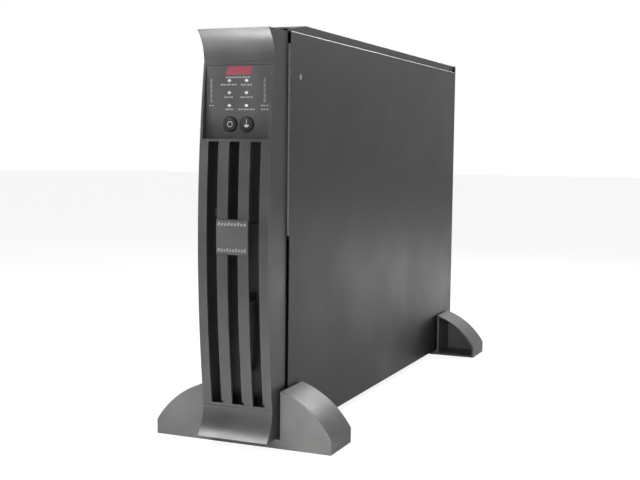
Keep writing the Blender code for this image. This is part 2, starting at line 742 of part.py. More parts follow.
def make_bezel(unit):
    outline = [(BEZEL_REAR, BEZEL_TOP)] + bezel_line() + [(BEZEL_REAR, BEZEL_BOTTOM)]
    shell = prism("X", outline, -BEZEL_HALF, BEZEL_HALF)
    half = BEZEL_HALF - BEZEL_WALL
    window = box((-half, TOP_FLARE_Y - CUT, WINDOW_BOTTOM), (half, CUT, WINDOW_TOP))
    upper = bezel_cavity(WINDOW_TOP + LEDGE_H, BEZEL_TOP - BEZEL_WALL)
    lower = bezel_cavity(BEZEL_BOTTOM + BEZEL_WALL, SLOT_TOP + GAP)
    origin = (0, BEZEL_REAR, BADGE_Z)
    bezel = piece(unit, "front_bezel", "dark_plastic", shell, cut=[window, upper, lower], origin=origin)
    for index, shape in enumerate(slot_boxes() + waist_grooves()):
        boolean(bezel, "DIFFERENCE", mesh_object(f"front_bezel_slot_{index}", [shape], origin, unit))
    for side in (-1, 1):
        inner, outer = sorted((side * (half - CLIP_T), side * (half + GAP)))
        for level, z in enumerate(clip_heights()):
            clip = box((inner, CLIP_ROOT_Y, z - CLIP_H / 2), (outer, CLIP_REACH, z + CLIP_H / 2))
            name = f"front_bezel_clip_{side}_{level}"
            boolean(bezel, "UNION", mesh_object(name, [clip], origin, unit))
    behind_badge = between(bezel_line(), BADGE_Z - BADGE_H / 2, BADGE_Z + BADGE_H / 2)
    front = min(y for y, _ in behind_badge) - GAP
    badge = plate("Y", (0, BADGE_Z), (BADGE_W, BADGE_H), front - BADGE_T, front)
    piece(unit, "bezel_badge", "badge_metal", badge, origin=(0, front, BADGE_Z))


# Display


def light_posts(grow, front, back):
    """The windows of the status lights and of the two bar graphs, or the posts that fill them."""
    posts = []
    for x in LIGHT_COLUMNS:
        for z in LIGHT_ROWS:
            posts.append(rod("Y", (x, DISPLAY_BOTTOM + z), LIGHT_R + grow, front, back, 12))
    for x in BAR_COLUMNS:
        for step in range(BAR_COUNT):
            centre = (x, DISPLAY_BOTTOM + BAR_LOWEST + step * BAR_PITCH)
            size = (BAR_W + 2 * grow, BAR_H + 2 * grow)
            posts.append(plate("Y", centre, size, front, back))
    return posts


def make_display(unit):
    face = DISPLAY_FACE_Y
    back = BULKHEAD_Y - GAP
    shell = box((-DISPLAY_HALF, face, DISPLAY_BOTTOM), (DISPLAY_HALF, back, DISPLAY_TOP))
    inner = DISPLAY_HALF - DISPLAY_WALL
    low, high = DISPLAY_BOTTOM + DISPLAY_WALL, DISPLAY_TOP - DISPLAY_WALL
    cavity = box((-inner, face + DISPLAY_FACE_T, low), (inner, back + CUT, high))
    panel = piece(unit, "display_panel", "panel_plastic", shell, cut=[cavity])
    past = face + DISPLAY_FACE_T + WINDOW_PAST
    windows = light_posts(GAP, face - CUT, past)
    for x in (-BUTTON_X, BUTTON_X):
        centre = (x, DISPLAY_BOTTOM + BUTTON_Z)
        dish = face + BUTTON_DISH_DEPTH
        hole_r = BUTTON_R + BUTTON_ROOM
        profile = [(0, face - CUT), (BUTTON_DISH_R, face - CUT), (BUTTON_DISH_R, dish)]
        profile += [(hole_r, dish), (hole_r, past), (0, past)]
        windows.append(turned("Y", centre, profile))
    boolean(panel, "DIFFERENCE", mesh_object("display_panel_windows", windows, (0, 0, 0), unit))

    middle = ((BAR_COLUMNS[0] + BAR_COLUMNS[1]) / 2, DISPLAY_BOTTOM + (LIGHT_ROWS[0] + LIGHT_ROWS[-1]) / 2)
    across = BAR_COLUMNS[1] - BAR_COLUMNS[0] + BAR_W + 2 * GUIDE_MARGIN
    high = LIGHT_ROWS[-1] - LIGHT_ROWS[0] + 2 * (LIGHT_R + GUIDE_MARGIN)
    guide = plate("Y", middle, (across, high), GUIDE_Y, GUIDE_Y + GUIDE_T)
    posts = light_posts(0, face + PROUD, GUIDE_Y + GUIDE_T / 2)
    piece(unit, "light_guide", "light_plastic", guide, join=posts)

    for name, x in (("off_button", -BUTTON_X), ("on_button", BUTTON_X)):
        make_button(unit, name, x)
    make_display_board(unit, back)


def make_button(unit, name, x):
    """A dished cap with a retaining flange and a stem, free to travel inwards."""
    face = DISPLAY_FACE_Y
    rim = face - BUTTON_RIM
    flange = face + DISPLAY_FACE_T + GAP
    profile = [(BUTTON_R * share, rim - BUTTON_HOLLOW * share**2) for share in (0, 0.3, 0.6, 0.9)]
    profile += [(BUTTON_R, rim), (BUTTON_R, flange), (BUTTON_R + BUTTON_FLANGE, flange)]
    profile += [(BUTTON_R + BUTTON_FLANGE, flange + BUTTON_FLANGE), (BUTTON_STEM_R, flange + BUTTON_FLANGE)]
    profile += [(BUTTON_STEM_R, BUTTON_STEM_END_Y), (0, BUTTON_STEM_END_Y)]
    centre = (x, DISPLAY_BOTTOM + BUTTON_Z)
    cap = turned("Y", centre, profile)
    piece(unit, name, "button_plastic", cap, origin=(x, face, centre[1]), smooth=True)


def make_display_board(unit, back):
    half = DISPLAY_HALF - DISPLAY_WALL - DISPLAY_BOARD_EDGE
    low = DISPLAY_BOTTOM + DISPLAY_WALL + DISPLAY_BOARD_EDGE
    high = DISPLAY_TOP - DISPLAY_WALL - DISPLAY_BOARD_EDGE
    board_back = DISPLAY_BOARD_Y + BOARD_T
    board = box((-half, DISPLAY_BOARD_Y, low), (half, board_back, high))
    joined = []
    plunger_end = BUTTON_STEM_END_Y + BUTTON_TRAVEL + GAP
    switch_face = plunger_end + PLUNGER_L
    for x in (-BUTTON_X, BUTTON_X):
        centre = (x, DISPLAY_BOTTOM + BUTTON_Z)
        joined.append(plate("Y", centre, (SWITCH_SIZE, SWITCH_SIZE), switch_face, DISPLAY_BOARD_Y + LAP))
        joined.append(rod("Y", centre, PLUNGER_R, plunger_end, switch_face + LAP, 12))
    for x in (-half + STANDOFF_INSET, half - STANDOFF_INSET):
        for z in (low + STANDOFF_INSET, high - STANDOFF_INSET):
            joined.append(rod("Y", (x, z), STANDOFF_R, board_back - LAP, back, 10))
    piece(unit, "display_board", "board_green", board, join=joined)

    ribbon_z = DISPLAY_BOTTOM + RIBBON_Z
    start = board_back + GAP + RIBBON_T
    end = (BOARD_FRONT_Y - RIBBON_END_ROOM, ribbon_z - RIBBON_DROP)
    path = arc((start, ribbon_z), end, -RIBBON_SAG, 12)
    under = offset_line(path, -RIBBON_T)
    ribbon = prism("X", path + under[::-1], -RIBBON_W / 2, RIBBON_W / 2)
    piece(unit, "display_ribbon", "button_plastic", ribbon)


# Battery module


def make_battery_module(unit):
    origin = (0, TRAY_FRONT_Y, TRAY_TOP / 2)
    right = TRAY_LEFT + TRAY_FLANGE
    inner_low, inner_high = TRAY_BOTTOM + SHEET, TRAY_TOP - SHEET
    outline = [(TRAY_LEFT, TRAY_BOTTOM), (right, TRAY_BOTTOM), (right, inner_low)]
    outline += [(TRAY_LEFT + SHEET, inner_low), (TRAY_LEFT + SHEET, inner_high)]
    outline += [(right, inner_high), (right, TRAY_TOP), (TRAY_LEFT, TRAY_TOP)]
    tray = prism("Y", outline, TRAY_FRONT_Y, TRAY_BACK)
    inside = SHEET / 2
    end_wall = box(
        (TRAY_LEFT + inside, TRAY_BACK - SHEET - inside, TRAY_BOTTOM + inside),
        (right - inside, TRAY_BACK - inside, TRAY_TOP - inside),
    )
    piece(unit, "battery_tray", "plated_steel", tray, join=[end_wall], origin=origin)

    number = 0
    left = TRAY_LEFT + SHEET + GAP
    for row in range(BATTERY_ROWS):
        low = inner_low + GAP + row * (BATTERY_H + GAP)
        for place_in_row in range(BATTERY_DEEP):
            number += 1
            front = TRAY_FRONT_Y + TRAY_END_ROOM + place_in_row * (BATTERY_D + GAP)
            make_battery(unit, f"battery_{number}", (left, front, low))
    make_plug(unit)
    make_door(unit)


def make_battery(unit, name, corner):
    x, y, z = corner
    case = box(corner, (x + BATTERY_W, y + BATTERY_D, z + BATTERY_H))
    face = x + BATTERY_W
    joined = []
    for height in (TERMINAL_INSET, BATTERY_H - TERMINAL_INSET):
        centre = (y + BATTERY_D / 2, z + height)
        joined.append(plate("X", centre, TERMINAL, face - LAP, face + TERMINAL_REACH))
    piece(unit, name, "battery_case", case, join=joined, origin=corner)


def make_plug(unit):
    """The plug on the back of the tray, and the socket that it enters through the bay's wall."""
    start = TRAY_BACK + GAP
    pole_end = start + PLUG_REACH
    pole_places = [(x, PLUG_Z) for x in (-PLUG_POLE_X, PLUG_POLE_X)]
    flange = plate("Y", (0, PLUG_Z), smaller(plug_hole(), -PLUG_LAP), start, start + PLUG_FLANGE_T)
    pole = (PLUG_POLE, PLUG_POLE)
    poles = [plate("Y", spot, pole, start + PLUG_FLANGE_T - LAP, pole_end) for spot in pole_places]
    piece(unit, "battery_plug", "red_plastic", flange, join=poles)

    front = BAY_BACK + SHEET + GAP
    block = plate("Y", (0, PLUG_Z), smaller(plug_hole(), -2 * PLUG_LAP), front, PLUG_SOCKET_END)
    well = smaller(pole, -PLUG_ROOM / 2)
    wells = [plate("Y", spot, well, front - CUT, pole_end + PLUG_END_ROOM) for spot in pole_places]
    piece(unit, "battery_socket", "red_plastic", block, cut=wells)


def make_door(unit):
    half = BEZEL_HALF - BEZEL_WALL - DOOR_INSET
    low = BEZEL_BOTTOM + BEZEL_WALL + DOOR_INSET
    door = box((-half, DOOR_Y, low), (half, DOOR_Y + DOOR_T, DOOR_TOP))
    middle = (low + BAY_TOP) / 2
    grip_front = DOOR_Y - HANDLE_REACH
    grip = plate("Y", (0, middle), (HANDLE_W, HANDLE_L), grip_front, grip_front + HANDLE_T)
    end_size = (HANDLE_W, HANDLE_T)
    ends = []
    for side in (-1, 1):
        z = middle + side * (HANDLE_L - HANDLE_T) / 2
        ends.append(plate("Y", (0, z), end_size, grip_front, DOOR_Y + DOOR_T / 2))
    screws = [(side * THUMBSCREW_X, THUMBSCREW_Z) for side in (-1, 1)]
    holes = [rod("Y", spot, THUMBSCREW_SHANK_R + GAP, DOOR_Y - CUT, DOOR_Y + CUT, 16) for spot in screws]
    # the grip joins its two ends first, so that each join meets what is there already
    joined = ends + [grip]
    origin = (0, DOOR_Y, middle)
    piece(unit, "battery_door", "powder_coat", door, join=joined, cut=holes, origin=origin)

    head, tip = DOOR_Y - GAP, BULKHEAD_Y + SHEET + THUMBSCREW_TIP
    profile = [(0, head - THUMBSCREW_HEAD_T), (THUMBSCREW_R, head - THUMBSCREW_HEAD_T), (THUMBSCREW_R, head)]
    profile += [(THUMBSCREW_SHANK_R, head), (THUMBSCREW_SHANK_R, tip), (0, tip)]
    for number, spot in enumerate(screws, 1):
        screw = turned("Y", spot, profile, 20)
        piece(unit, f"door_thumbscrew_{number}", "plated_steel", screw, smooth=True)


# Electronics


def make_electronics(unit):
    board = box((BOARD_X, BOARD_FRONT_Y, BOARD_LOW), (BOARD_X + BOARD_T, BOARD_BACK, BOARD_HIGH))
    piece(unit, "main_board", "board_green", board)
    rails = {"board_rail_lower": BOARD_LOW + RAIL_INSET, "board_rail_upper": BOARD_HIGH - RAIL_INSET - RAIL_H}
    for name, z in rails.items():
        low = (INNER_LEFT, BOARD_FRONT_Y + RAIL_END_ROOM, z)
        rail = box(low, (BOARD_X - GAP, BOARD_BACK - RAIL_END_ROOM, z + RAIL_H))
        piece(unit, name, "plated_steel", rail)

    middle = (BOARD_LOW + BOARD_HIGH) / 2
    make_heatsink(unit, middle)
    for number, y in enumerate(CAPACITOR_Y, 1):
        can = rod("X", (y, middle), CAPACITOR_R, BOARD_FACE, BOARD_FACE + CAPACITOR_L, 20)
        piece(unit, f"bulk_capacitor_{number}", "battery_case", can, smooth=True)

    bore, outer = INDUCTOR_R
    low, high = BOARD_FACE, BOARD_FACE + INDUCTOR_T
    profile = [(bore, low), (outer - INDUCTOR_ROUND, low), (outer, low + INDUCTOR_ROUND)]
    profile += [(outer, high - INDUCTOR_ROUND), (outer - INDUCTOR_ROUND, high), (bore, high)]
    inductor = turned("X", (INDUCTOR_Y, middle), profile, 20)
    piece(unit, "filter_inductor", "copper", inductor, smooth=True)
    make_transformer(unit)

    start = Vector((0, PLUG_SOCKET_END + 2 * GAP, PLUG_Z))
    end = Vector((BOARD_FACE + LEAD_OFF_BOARD, start.y + LEAD_BACK, BOARD_LOW + LEAD_UP))
    make_lead(unit, "battery_lead", start, end)


def make_heatsink(unit, middle):
    base = (HEATSINK_BASE_T, HEATSINK_H)
    plate_x = BOARD_FACE + HEATSINK_BASE_T / 2
    lowest = middle - (HEATSINK_H - FIN_T) / 2
    pitch = (HEATSINK_H - FIN_T) / (HEATSINK_FINS - 1)
    fins = []
    for step in range(HEATSINK_FINS):
        centre = (plate_x + HEATSINK_REACH / 2, lowest + step * pitch)
        fins.append(plate("Y", centre, (HEATSINK_REACH, FIN_T), *HEATSINK_Y))
    piece(unit, "heatsink", "aluminium", plate("Y", (plate_x, middle), base, *HEATSINK_Y), join=fins)


def make_transformer(unit):
    """Laminated core with two windows, the coil on its middle leg, and the strap that holds it down."""
    low = INNER_BOTTOM + BRACKET_T + GAP
    middle_x = (INNER_LEFT + INNER_RIGHT) / 2
    left, right = middle_x - CORE_T / 2, middle_x + CORE_T / 2
    core = box((left, CORE_Y, low), (right, CORE_Y + CORE_W, low + CORE_H))
    window_w = CORE_W / 2 - 2 * CORE_LEG
    window_low, window_high = low + CORE_LEG, low + CORE_H - CORE_LEG
    windows = []
    for start in (CORE_Y + CORE_LEG, CORE_Y + CORE_W - CORE_LEG - window_w):
        windows.append(box((left - CUT, start, window_low), (right + CUT, start + window_w, window_high)))
    piece(unit, "transformer_core", "core_steel", core, cut=windows)
    gap = 2 * GAP
    leg_start = CORE_Y + CORE_LEG + window_w - gap
    leg_end = CORE_Y + CORE_W - CORE_LEG - window_w + gap
    coil_low, coil_high = window_low + gap, window_high - gap
    side = window_w - 2 * gap
    coil_front, coil_back = leg_start - side, leg_end + side
    coil_left, coil_right = left - gap - COIL_SIDE, right + gap + COIL_SIDE
    coil = box((coil_left, coil_front, coil_low), (coil_right, coil_back, coil_high))
    hole = box((left - gap, leg_start, coil_low - CUT), (right + gap, leg_end, coil_high + CUT))
    piece(unit, "transformer_coil", "copper", coil, cut=[hole])
    ends = (CORE_Y - GAP, CORE_Y + CORE_W + GAP)
    strap = INNER_BOTTOM + BRACKET_T
    height = low + BRACKET_H
    outline = [(ends[0] - BRACKET_T, INNER_BOTTOM), (ends[1] + BRACKET_T, INNER_BOTTOM)]
    outline += [(ends[1] + BRACKET_T, height), (ends[1], height), (ends[1], strap)]
    outline += [(ends[0], strap), (ends[0], height), (ends[0] - BRACKET_T, height)]
    piece(unit, "transformer_bracket", "plated_steel", prism("X", outline, left, right))


def make_lead(unit, name, start, end):
    """A round lead that leaves its plug straight back and bends up to the board."""
    bend = Vector((start.x, start.y + LEAD_STRAIGHT, start.z))
    rise = Vector((end.x, end.y, end.z - LEAD_CLIMB))
    points = []
    for step in range(LEAD_STEPS + 1):
        t = step / LEAD_STEPS
        blend = (1 - t) ** 3 * start + 3 * (1 - t) ** 2 * t * bend + 3 * (1 - t) * t**2 * rise + t**3 * end
        points.append(blend)
    data = bpy.data.curves.new(name, "CURVE")
    data.dimensions = "3D"
    spline = data.splines.new("POLY")
    spline.points.add(len(points) - 1)
    for target, point in zip(spline.points, points):
        target.co = (*point, 1)
    data.bevel_depth = LEAD_R
    data.bevel_resolution = 2
    data.use_fill_caps = True
    made = bpy.data.objects.new(name, data)
    made.data.materials.append(material(name, "black_plastic"))
    made.parent = unit
    bpy.context.scene.collection.objects.link(made)


# Rear face


def make_fan(unit, number, z):
    back = BODY_END
    front = back - FAN_T
    bore = FAN_SIZE / 2 - FAN_WALL
    centre = (0, z)
    block = plate("Y", centre, (FAN_SIZE, FAN_SIZE), front, back)
    frame = piece(unit, f"fan_{number}_frame", "black_plastic", block)
    hole = rod("Y", centre, bore, front - CUT, back + CUT, FAN_SIDES)
    boolean(frame, "DIFFERENCE", mesh_object(f"fan_{number}_bore", [hole], (0, 0, 0), unit))
    arm = (FAN_SIZE - FAN_WALL, FAN_ARM_W)
    arms = [plate("Y", centre, size, front, front + FAN_ARM_T) for size in (arm, arm[::-1])]
    motor = rod("Y", centre, HUB_R - LAP, front, front + MOTOR_T, 20)
    for index, shape in enumerate(arms + [motor]):
        boolean(frame, "UNION", mesh_object(f"fan_{number}_arm_{index}", [shape], (0, 0, 0), unit))

    hub_start, hub_end = front + MOTOR_T + ROTOR_ROOM, back - ROTOR_SET_BACK
    profile = [(0, hub_start), (HUB_R, hub_start), (HUB_R, hub_end - HUB_EDGE), (HUB_R - HUB_EDGE, hub_end)]
    hub = turned("Y", centre, profile + [(0, hub_end)])
    tip = bore - ROTOR_TIP_GAP
    middle = (hub_start + hub_end) / 2
    blades = [fan_blade(centre, math.tau * step / BLADES, tip, middle) for step in range(BLADES)]
    piece(unit, f"fan_{number}_rotor", "black_plastic", hub, join=blades, origin=(0, middle, z))
    make_guard(unit, number, centre, bore)


def fan_blade(centre, turn, tip, middle):
    """A pitched blade from inside the hub to near the bore, as one slanted block."""
    half_sweep = BLADE_CHORD / 2 * math.sin(BLADE_PITCH)
    reach = math.sqrt(tip**2 - (half_sweep + BLADE_T) ** 2)
    inner = HUB_R - BLADE_ROOT

    def add(bm):
        corners = bmesh.ops.create_cube(bm, size=1.0)["verts"]
        bmesh.ops.scale(bm, vec=(reach - inner, BLADE_CHORD, BLADE_T), verts=corners)
        bmesh.ops.rotate(bm, cent=(0, 0, 0), matrix=Matrix.Rotation(BLADE_PITCH, 3, "X"), verts=corners)
        bmesh.ops.translate(bm, vec=((reach + inner) / 2, 0, 0), verts=corners)
        bmesh.ops.rotate(bm, cent=(0, 0, 0), matrix=Matrix.Rotation(turn, 3, "Y"), verts=corners)
        bmesh.ops.translate(bm, vec=(centre[0], middle, centre[1]), verts=corners)

    return add


def make_guard(unit, number, centre, bore):
    """Wire rings on two crossed bars, with a foot at each end of the bars."""
    outer = CHASSIS_D + REAR_REACH
    inner = outer - GUARD_WIRE
    ear = FAN_SIZE / 2 - GUARD_INSET
    bar_w, bar_t = GUARD_BAR
    sizes = ((2 * ear, bar_w), (bar_w, 2 * ear))
    bars = [plate("Y", centre, size, inner - bar_t, inner + GUARD_WIRE / 4) for size in sizes]
    joined = [bars[1]]
    for share in GUARD_RINGS:
        near, far = bore * share - GUARD_WIRE / 2, bore * share + GUARD_WIRE / 2
        joined.append(turned("Y", centre, [(near, inner), (far, inner), (far, outer), (near, outer)]))
    foot = ear - GUARD_FOOT[0] / 2
    for side in (-1, 1):
        beside = (centre[0] + side * foot, centre[1])
        above = (centre[0], centre[1] + side * foot)
        joined.append(plate("Y", beside, GUARD_FOOT, CHASSIS_D + GAP, inner))
        joined.append(plate("Y", above, GUARD_FOOT[::-1], CHASSIS_D + GAP, inner))
    piece(unit, f"fan_{number}_guard", "plated_steel", bars[0], join=joined)


def make_slot_cover(unit):
    face = CHASSIS_D + GAP
    cover = plate("Y", (-COLUMN_X, SLOT_COVER_Z), SLOT_COVER, face, face + SLOT_COVER_T)
    knobs = []
    for side in (-1, 1):
        centre = (-COLUMN_X, SLOT_COVER_Z + side * (SLOT_COVER[1] / 2 - SLOT_KNOB_INSET))
        knobs.append(rod("Y", centre, SLOT_KNOB_R, face + LAP, CHASSIS_D + SLOT_KNOB_REACH, 12))
    piece(unit, "accessory_slot_cover", "powder_coat", cover, join=knobs)


def socket_outline(centre, size):
    """The face of a power socket: a rectangle with its two upper corners cut off."""
    (x, z), (w, h) = centre, size
    corner = h * SOCKET_CORNER
    left, right, low, high = x - w / 2, x + w / 2, z - h / 2, z + h / 2
    top = [(right, high - corner), (right - corner, high), (left + corner, high), (left, high - corner)]
    return [(left, low), (right, low)] + top


def make_outlets(unit):
    """Two strips of sockets; each socket is an island with three slots, in a groove."""
    face = CHASSIS_D + OUTLET_FACE
    floor = face - SOCKET_DEPTH
    size = (OUTLET_W, STRIP_HEIGHT)
    for number, x in enumerate((-COLUMN_X, COLUMN_X), 1):
        middle = (x, outlet_middle())
        flange = plate("Y", middle, size, CHASSIS_D + GAP, face)
        body_start, body_end = CHASSIS_D - OUTLET_BODY_D, CHASSIS_D + FLANGE_JOIN
        body = plate("Y", middle, smaller(size, OUTLET_RIM), body_start, body_end)
        strip = piece(unit, f"outlet_strip_{number}", "black_plastic", flange, join=[body])
        grooves, islands, slots = [], [], []
        for step in range(OUTLETS):
            centre = (x, OUTLET_Z + step * OUTLET_PITCH)
            island_top = face - ISLAND_DROP
            grooves.append(prism("Y", socket_outline(centre, SOCKET_OUTER), floor, face + CUT))
            islands.append(prism("Y", socket_outline(centre, SOCKET_INNER), floor - LAP, island_top))
            for across, up in SOCKET_HOLES:
                spot = (x + across, centre[1] + up)
                slots.append(plate("Y", spot, SOCKET_HOLE, face - SOCKET_HOLE_DEPTH, face + CUT))
        for kind, shapes in {"grooves": grooves, "islands": islands, "slots": slots}.items():
            operation = "UNION" if kind == "islands" else "DIFFERENCE"
            boolean(strip, operation, mesh_object(f"outlet_{kind}_{number}", shapes, (0, 0, 0), unit))


def make_inlet(unit):
    centre = (-COLUMN_X, INLET_Z)
    face = CHASSIS_D + INLET_FACE
    floor = face - INLET_DEPTH
    flange = plate("Y", centre, INLET_SIZE, CHASSIS_D + GAP, face)
    body_size = smaller(INLET_SIZE, INLET_RIM)
    body = plate("Y", centre, body_size, floor - INLET_BACK, CHASSIS_D + FLANGE_JOIN)
    inlet = piece(unit, "power_inlet", "black_plastic", flange, join=[body])
    cavity = plate("Y", centre, smaller(body_size, INLET_WALL), floor, face + CUT)
    boolean(inlet, "DIFFERENCE", mesh_object("inlet_cavity", [cavity], (0, 0, 0), unit))
    blades = []
    for step in (-1, 0, 1):
        spot = (centre[0] + step * INLET_BLADE_PITCH, centre[1])
        blades.append(plate("Y", spot, INLET_BLADE, floor - TONGUE_ROOT, face - INLET_BLADE_DROP))
    boolean(inlet, "UNION", mesh_object("inlet_blades", blades, (0, 0, 0), unit))


def make_breakers(unit):
    """Push-to-reset breakers: a threaded bushing with its nut, and the button that pops out of it."""
    bore = BREAKER_R + GAP
    face, seat = CHASSIS_D + BREAKER_FACE, CHASSIS_D + GAP
    front = CHASSIS_D - BREAKER_DEPTH
    tail = front - BREAKER_TAIL
    end = CHASSIS_D + BREAKER_BUTTON_REACH
    bushing = [(bore, face), (BREAKER_NUT_R, face), (BREAKER_NUT_R, seat), (BREAKER_STEM_R, seat)]
    bushing += [(BREAKER_STEM_R, tail), (bore, tail)]
    cap = [(0, end), (BREAKER_R - BREAKER_EDGE, end), (BREAKER_R, end - BREAKER_EDGE)]
    cap += [(BREAKER_R, front), (0, front)]
    for number, x in enumerate(BREAKER_X, 1):
        centre = (x, BREAKER_Z)
        name = f"breaker_{number}"
        piece(unit, name, "black_plastic", turned("Y", centre, bushing), smooth=True)
        button = turned("Y", centre, cap, 20)
        piece(unit, f"{name}_button", "red_plastic", button, origin=(x, end, BREAKER_Z), smooth=True)


def make_ports(unit):
    """The interface board with its serial and USB shells, the battery port and the ground screw."""
    low, high = PORT_Z["usb"] - INTERFACE_MARGIN, PORT_Z["serial"] + INTERFACE_MARGIN
    board_y = CHASSIS_D - INTERFACE_BOARD_D
    left, right = COLUMN_X - INTERFACE_BOARD_W / 2, COLUMN_X + INTERFACE_BOARD_W / 2
    board = box((left, board_y, low), (right, board_y + BOARD_T, high))
    shells = []
    for port, z in PORT_Z.items():
        reach = CHASSIS_D + PORT_REACH[port]
        shells.append(plate("Y", (COLUMN_X, z), PORT_SHELL[port], board_y + LAP, reach))
    usb = (COLUMN_X, PORT_Z["usb"])
    floor = CHASSIS_D - USB_DEPTH
    mouth = plate("Y", usb, USB_MOUTH, floor, CHASSIS_D + CUT)
    ports = piece(unit, "interface_board", "plated_steel", board, join=shells, cut=[mouth])
    tongue = plate("Y", usb, USB_TONGUE, floor - TONGUE_ROOT, CHASSIS_D - TONGUE_DROP)
    boolean(ports, "UNION", mesh_object("usb_tongue", [tongue], (0, 0, 0), unit))
    make_battery_port(unit)

    seat = CHASSIS_D + GAP
    top, tip = seat + GROUND_HEAD_T, CHASSIS_D - GROUND_L
    profile = [(0, top), (GROUND_HEAD_R - GROUND_HEAD_EDGE, top), (GROUND_HEAD_R, top - GROUND_HEAD_EDGE)]
    profile += [(GROUND_HEAD_R, seat), (GROUND_SHANK_R, seat), (GROUND_SHANK_R, tip), (0, tip)]
    screw = turned("Y", (COLUMN_X, GROUND_Z), profile, 16)
    piece(unit, "ground_screw", "plated_steel", screw, smooth=True)


def make_battery_port(unit):
    """A flanged block with two contact wells, each with a blade on its floor."""
    centre = (COLUMN_X, BATTERY_PORT_Z)
    flange = plate("Y", centre, BATTERY_PORT, CHASSIS_D + GAP, CHASSIS_D + BATTERY_PORT_FACE)
    start, end = CHASSIS_D - BATTERY_PORT_BODY_D, CHASSIS_D + BATTERY_PORT_REACH
    body = plate("Y", centre, smaller(BATTERY_PORT, BATTERY_PORT_RIM), start, end)
    floor = CHASSIS_D - WELL_DEPTH
    spots = [(COLUMN_X + side * WELL_X, BATTERY_PORT_Z) for side in (-1, 1)]
    wells = [plate("Y", spot, WELL, floor, CHASSIS_D + CUT) for spot in spots]
    tongue_start, tongue_end = floor - TONGUE_ROOT, CHASSIS_D - TONGUE_DROP
    tongues = [plate("Y", spot, WELL_TONGUE, tongue_start, tongue_end) for spot in spots]
    port = piece(unit, "external_battery_port", "black_plastic", flange, join=[body], cut=wells)
    boolean(port, "UNION", mesh_object("battery_port_tongues", tongues, (0, 0, 0), unit))


def main():
    for obj in list(bpy.data.objects):
        bpy.data.objects.remove(obj, do_unlink=True)
    unit = bpy.data.objects.new("unit", None)
    unit.location = (0, CHASSIS_FRONT, 0)
    bpy.context.scene.collection.objects.link(unit)
    make_chassis_base(unit)
    make_side_cover(unit)
    make_rear_panel(unit)
    make_front_bulkhead(unit)
    make_battery_bay_wall(unit)
    make_feet(unit)
    make_bezel(unit)
    make_display(unit)
    make_battery_module(unit)
    make_electronics(unit)
    for number, z in enumerate(FAN_CENTRES, 1):
        make_fan(unit, number, z)
    make_slot_cover(unit)
    make_outlets(unit)
    make_inlet(unit)
    make_breakers(unit)
    make_ports(unit)


main()
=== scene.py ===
"""Looks of a rack and tower uninterruptible power supply that stands on its tower feet.

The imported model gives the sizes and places. Lengths are in metres, and the front faces -Y.
"""

import json
import math

import bmesh
import bpy
from mathutils import Matrix, Vector


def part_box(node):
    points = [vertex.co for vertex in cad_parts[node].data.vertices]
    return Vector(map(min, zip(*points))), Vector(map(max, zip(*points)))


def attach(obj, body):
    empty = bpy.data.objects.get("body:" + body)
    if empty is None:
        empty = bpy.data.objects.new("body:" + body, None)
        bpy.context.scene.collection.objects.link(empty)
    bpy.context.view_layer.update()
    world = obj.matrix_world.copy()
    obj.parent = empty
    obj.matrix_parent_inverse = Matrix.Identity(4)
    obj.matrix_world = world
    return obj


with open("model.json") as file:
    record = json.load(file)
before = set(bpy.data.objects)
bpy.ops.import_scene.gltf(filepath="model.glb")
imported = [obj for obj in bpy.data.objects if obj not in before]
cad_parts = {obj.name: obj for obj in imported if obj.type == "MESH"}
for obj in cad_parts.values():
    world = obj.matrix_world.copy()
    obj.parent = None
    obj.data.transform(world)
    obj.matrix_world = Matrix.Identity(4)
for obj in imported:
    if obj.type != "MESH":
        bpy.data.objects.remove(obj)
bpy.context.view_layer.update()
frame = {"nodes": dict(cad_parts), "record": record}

SCENE = bpy.context.scene
NODES = frame["nodes"]

BEZEL_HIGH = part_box("front_bezel")[1]
PANEL_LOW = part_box("display_panel")[0]
COVER_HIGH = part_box("side_cover")[1]
CHASSIS_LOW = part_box("chassis_base")[0]
BADGE_LOW, BADGE_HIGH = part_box("bezel_badge")
REAR_LOW, REAR_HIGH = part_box("rear_panel")
CHASSIS_FRONT = CHASSIS_LOW.y
REAR_FACE = REAR_HIGH.y
PANEL_FACE = PANEL_LOW.y

# Softened edges
SHARP_ANGLE = math.radians(35)
WELD_GAP = 0.00001
EDGES = {"default": 0.0003, "foot": 0.0006, "front_bezel": 0.0004, "battery_": 0.0006}
THIN_EDGE = 0.0001
WEAR_R = 0.0008
WEAR_REACH = 0.12

# Colours of the outer pieces
POWDER = (0.0095, 0.0095, 0.0100)
BEZEL = (0.050, 0.050, 0.0505)
FOOT = (0.110, 0.109, 0.107)
PANEL = (0.052, 0.052, 0.053)
FLOOR_TONES = (0.86, 0.90)

# Printed marks and lights on the display, from its middle and its lower edge
PRINT_T = 0.00012
PRINT_FILL = (0.78, 0.62)  # share of the pitch taken by even and by odd dashes
PRINT_LINES = [  # start, end, height above the lower edge, line height, number of dashes
    (-0.0147, 0.0131, 0.0620, 0.0013, 9),
    (-0.0204, -0.0013, 0.0547, 0.0014, 6),
    (0.0025, 0.0159, 0.0544, 0.0014, 4),
    (-0.0164, -0.0057, 0.0421, 0.0013, 4),
    (0.0020, 0.0163, 0.0420, 0.0014, 5),
    (-0.0150, -0.0059, 0.0298, 0.0014, 3),
    (-0.0008, 0.0191, 0.0297, 0.0014, 6),
    (-0.0340, -0.0276, 0.0337, 0.0013, 2),
    (0.0249, 0.0342, 0.0335, 0.0013, 3),
    (0.0249, 0.0342, 0.0297, 0.0013, 3),
]
RED_MARK = (0.0, 0.0688, 0.0275, 0.0086)  # across, up, width, height
RED_SLANT = 0.35
RED_CORNER = 0.0018
LIGHT_COLUMNS = (-0.0107, 0.0087)
LIGHT_ROWS = (0.0337, 0.0466, 0.0589)
LENS_SIZE = (0.0020, 0.0008, 0.0013)  # half its width, depth and height

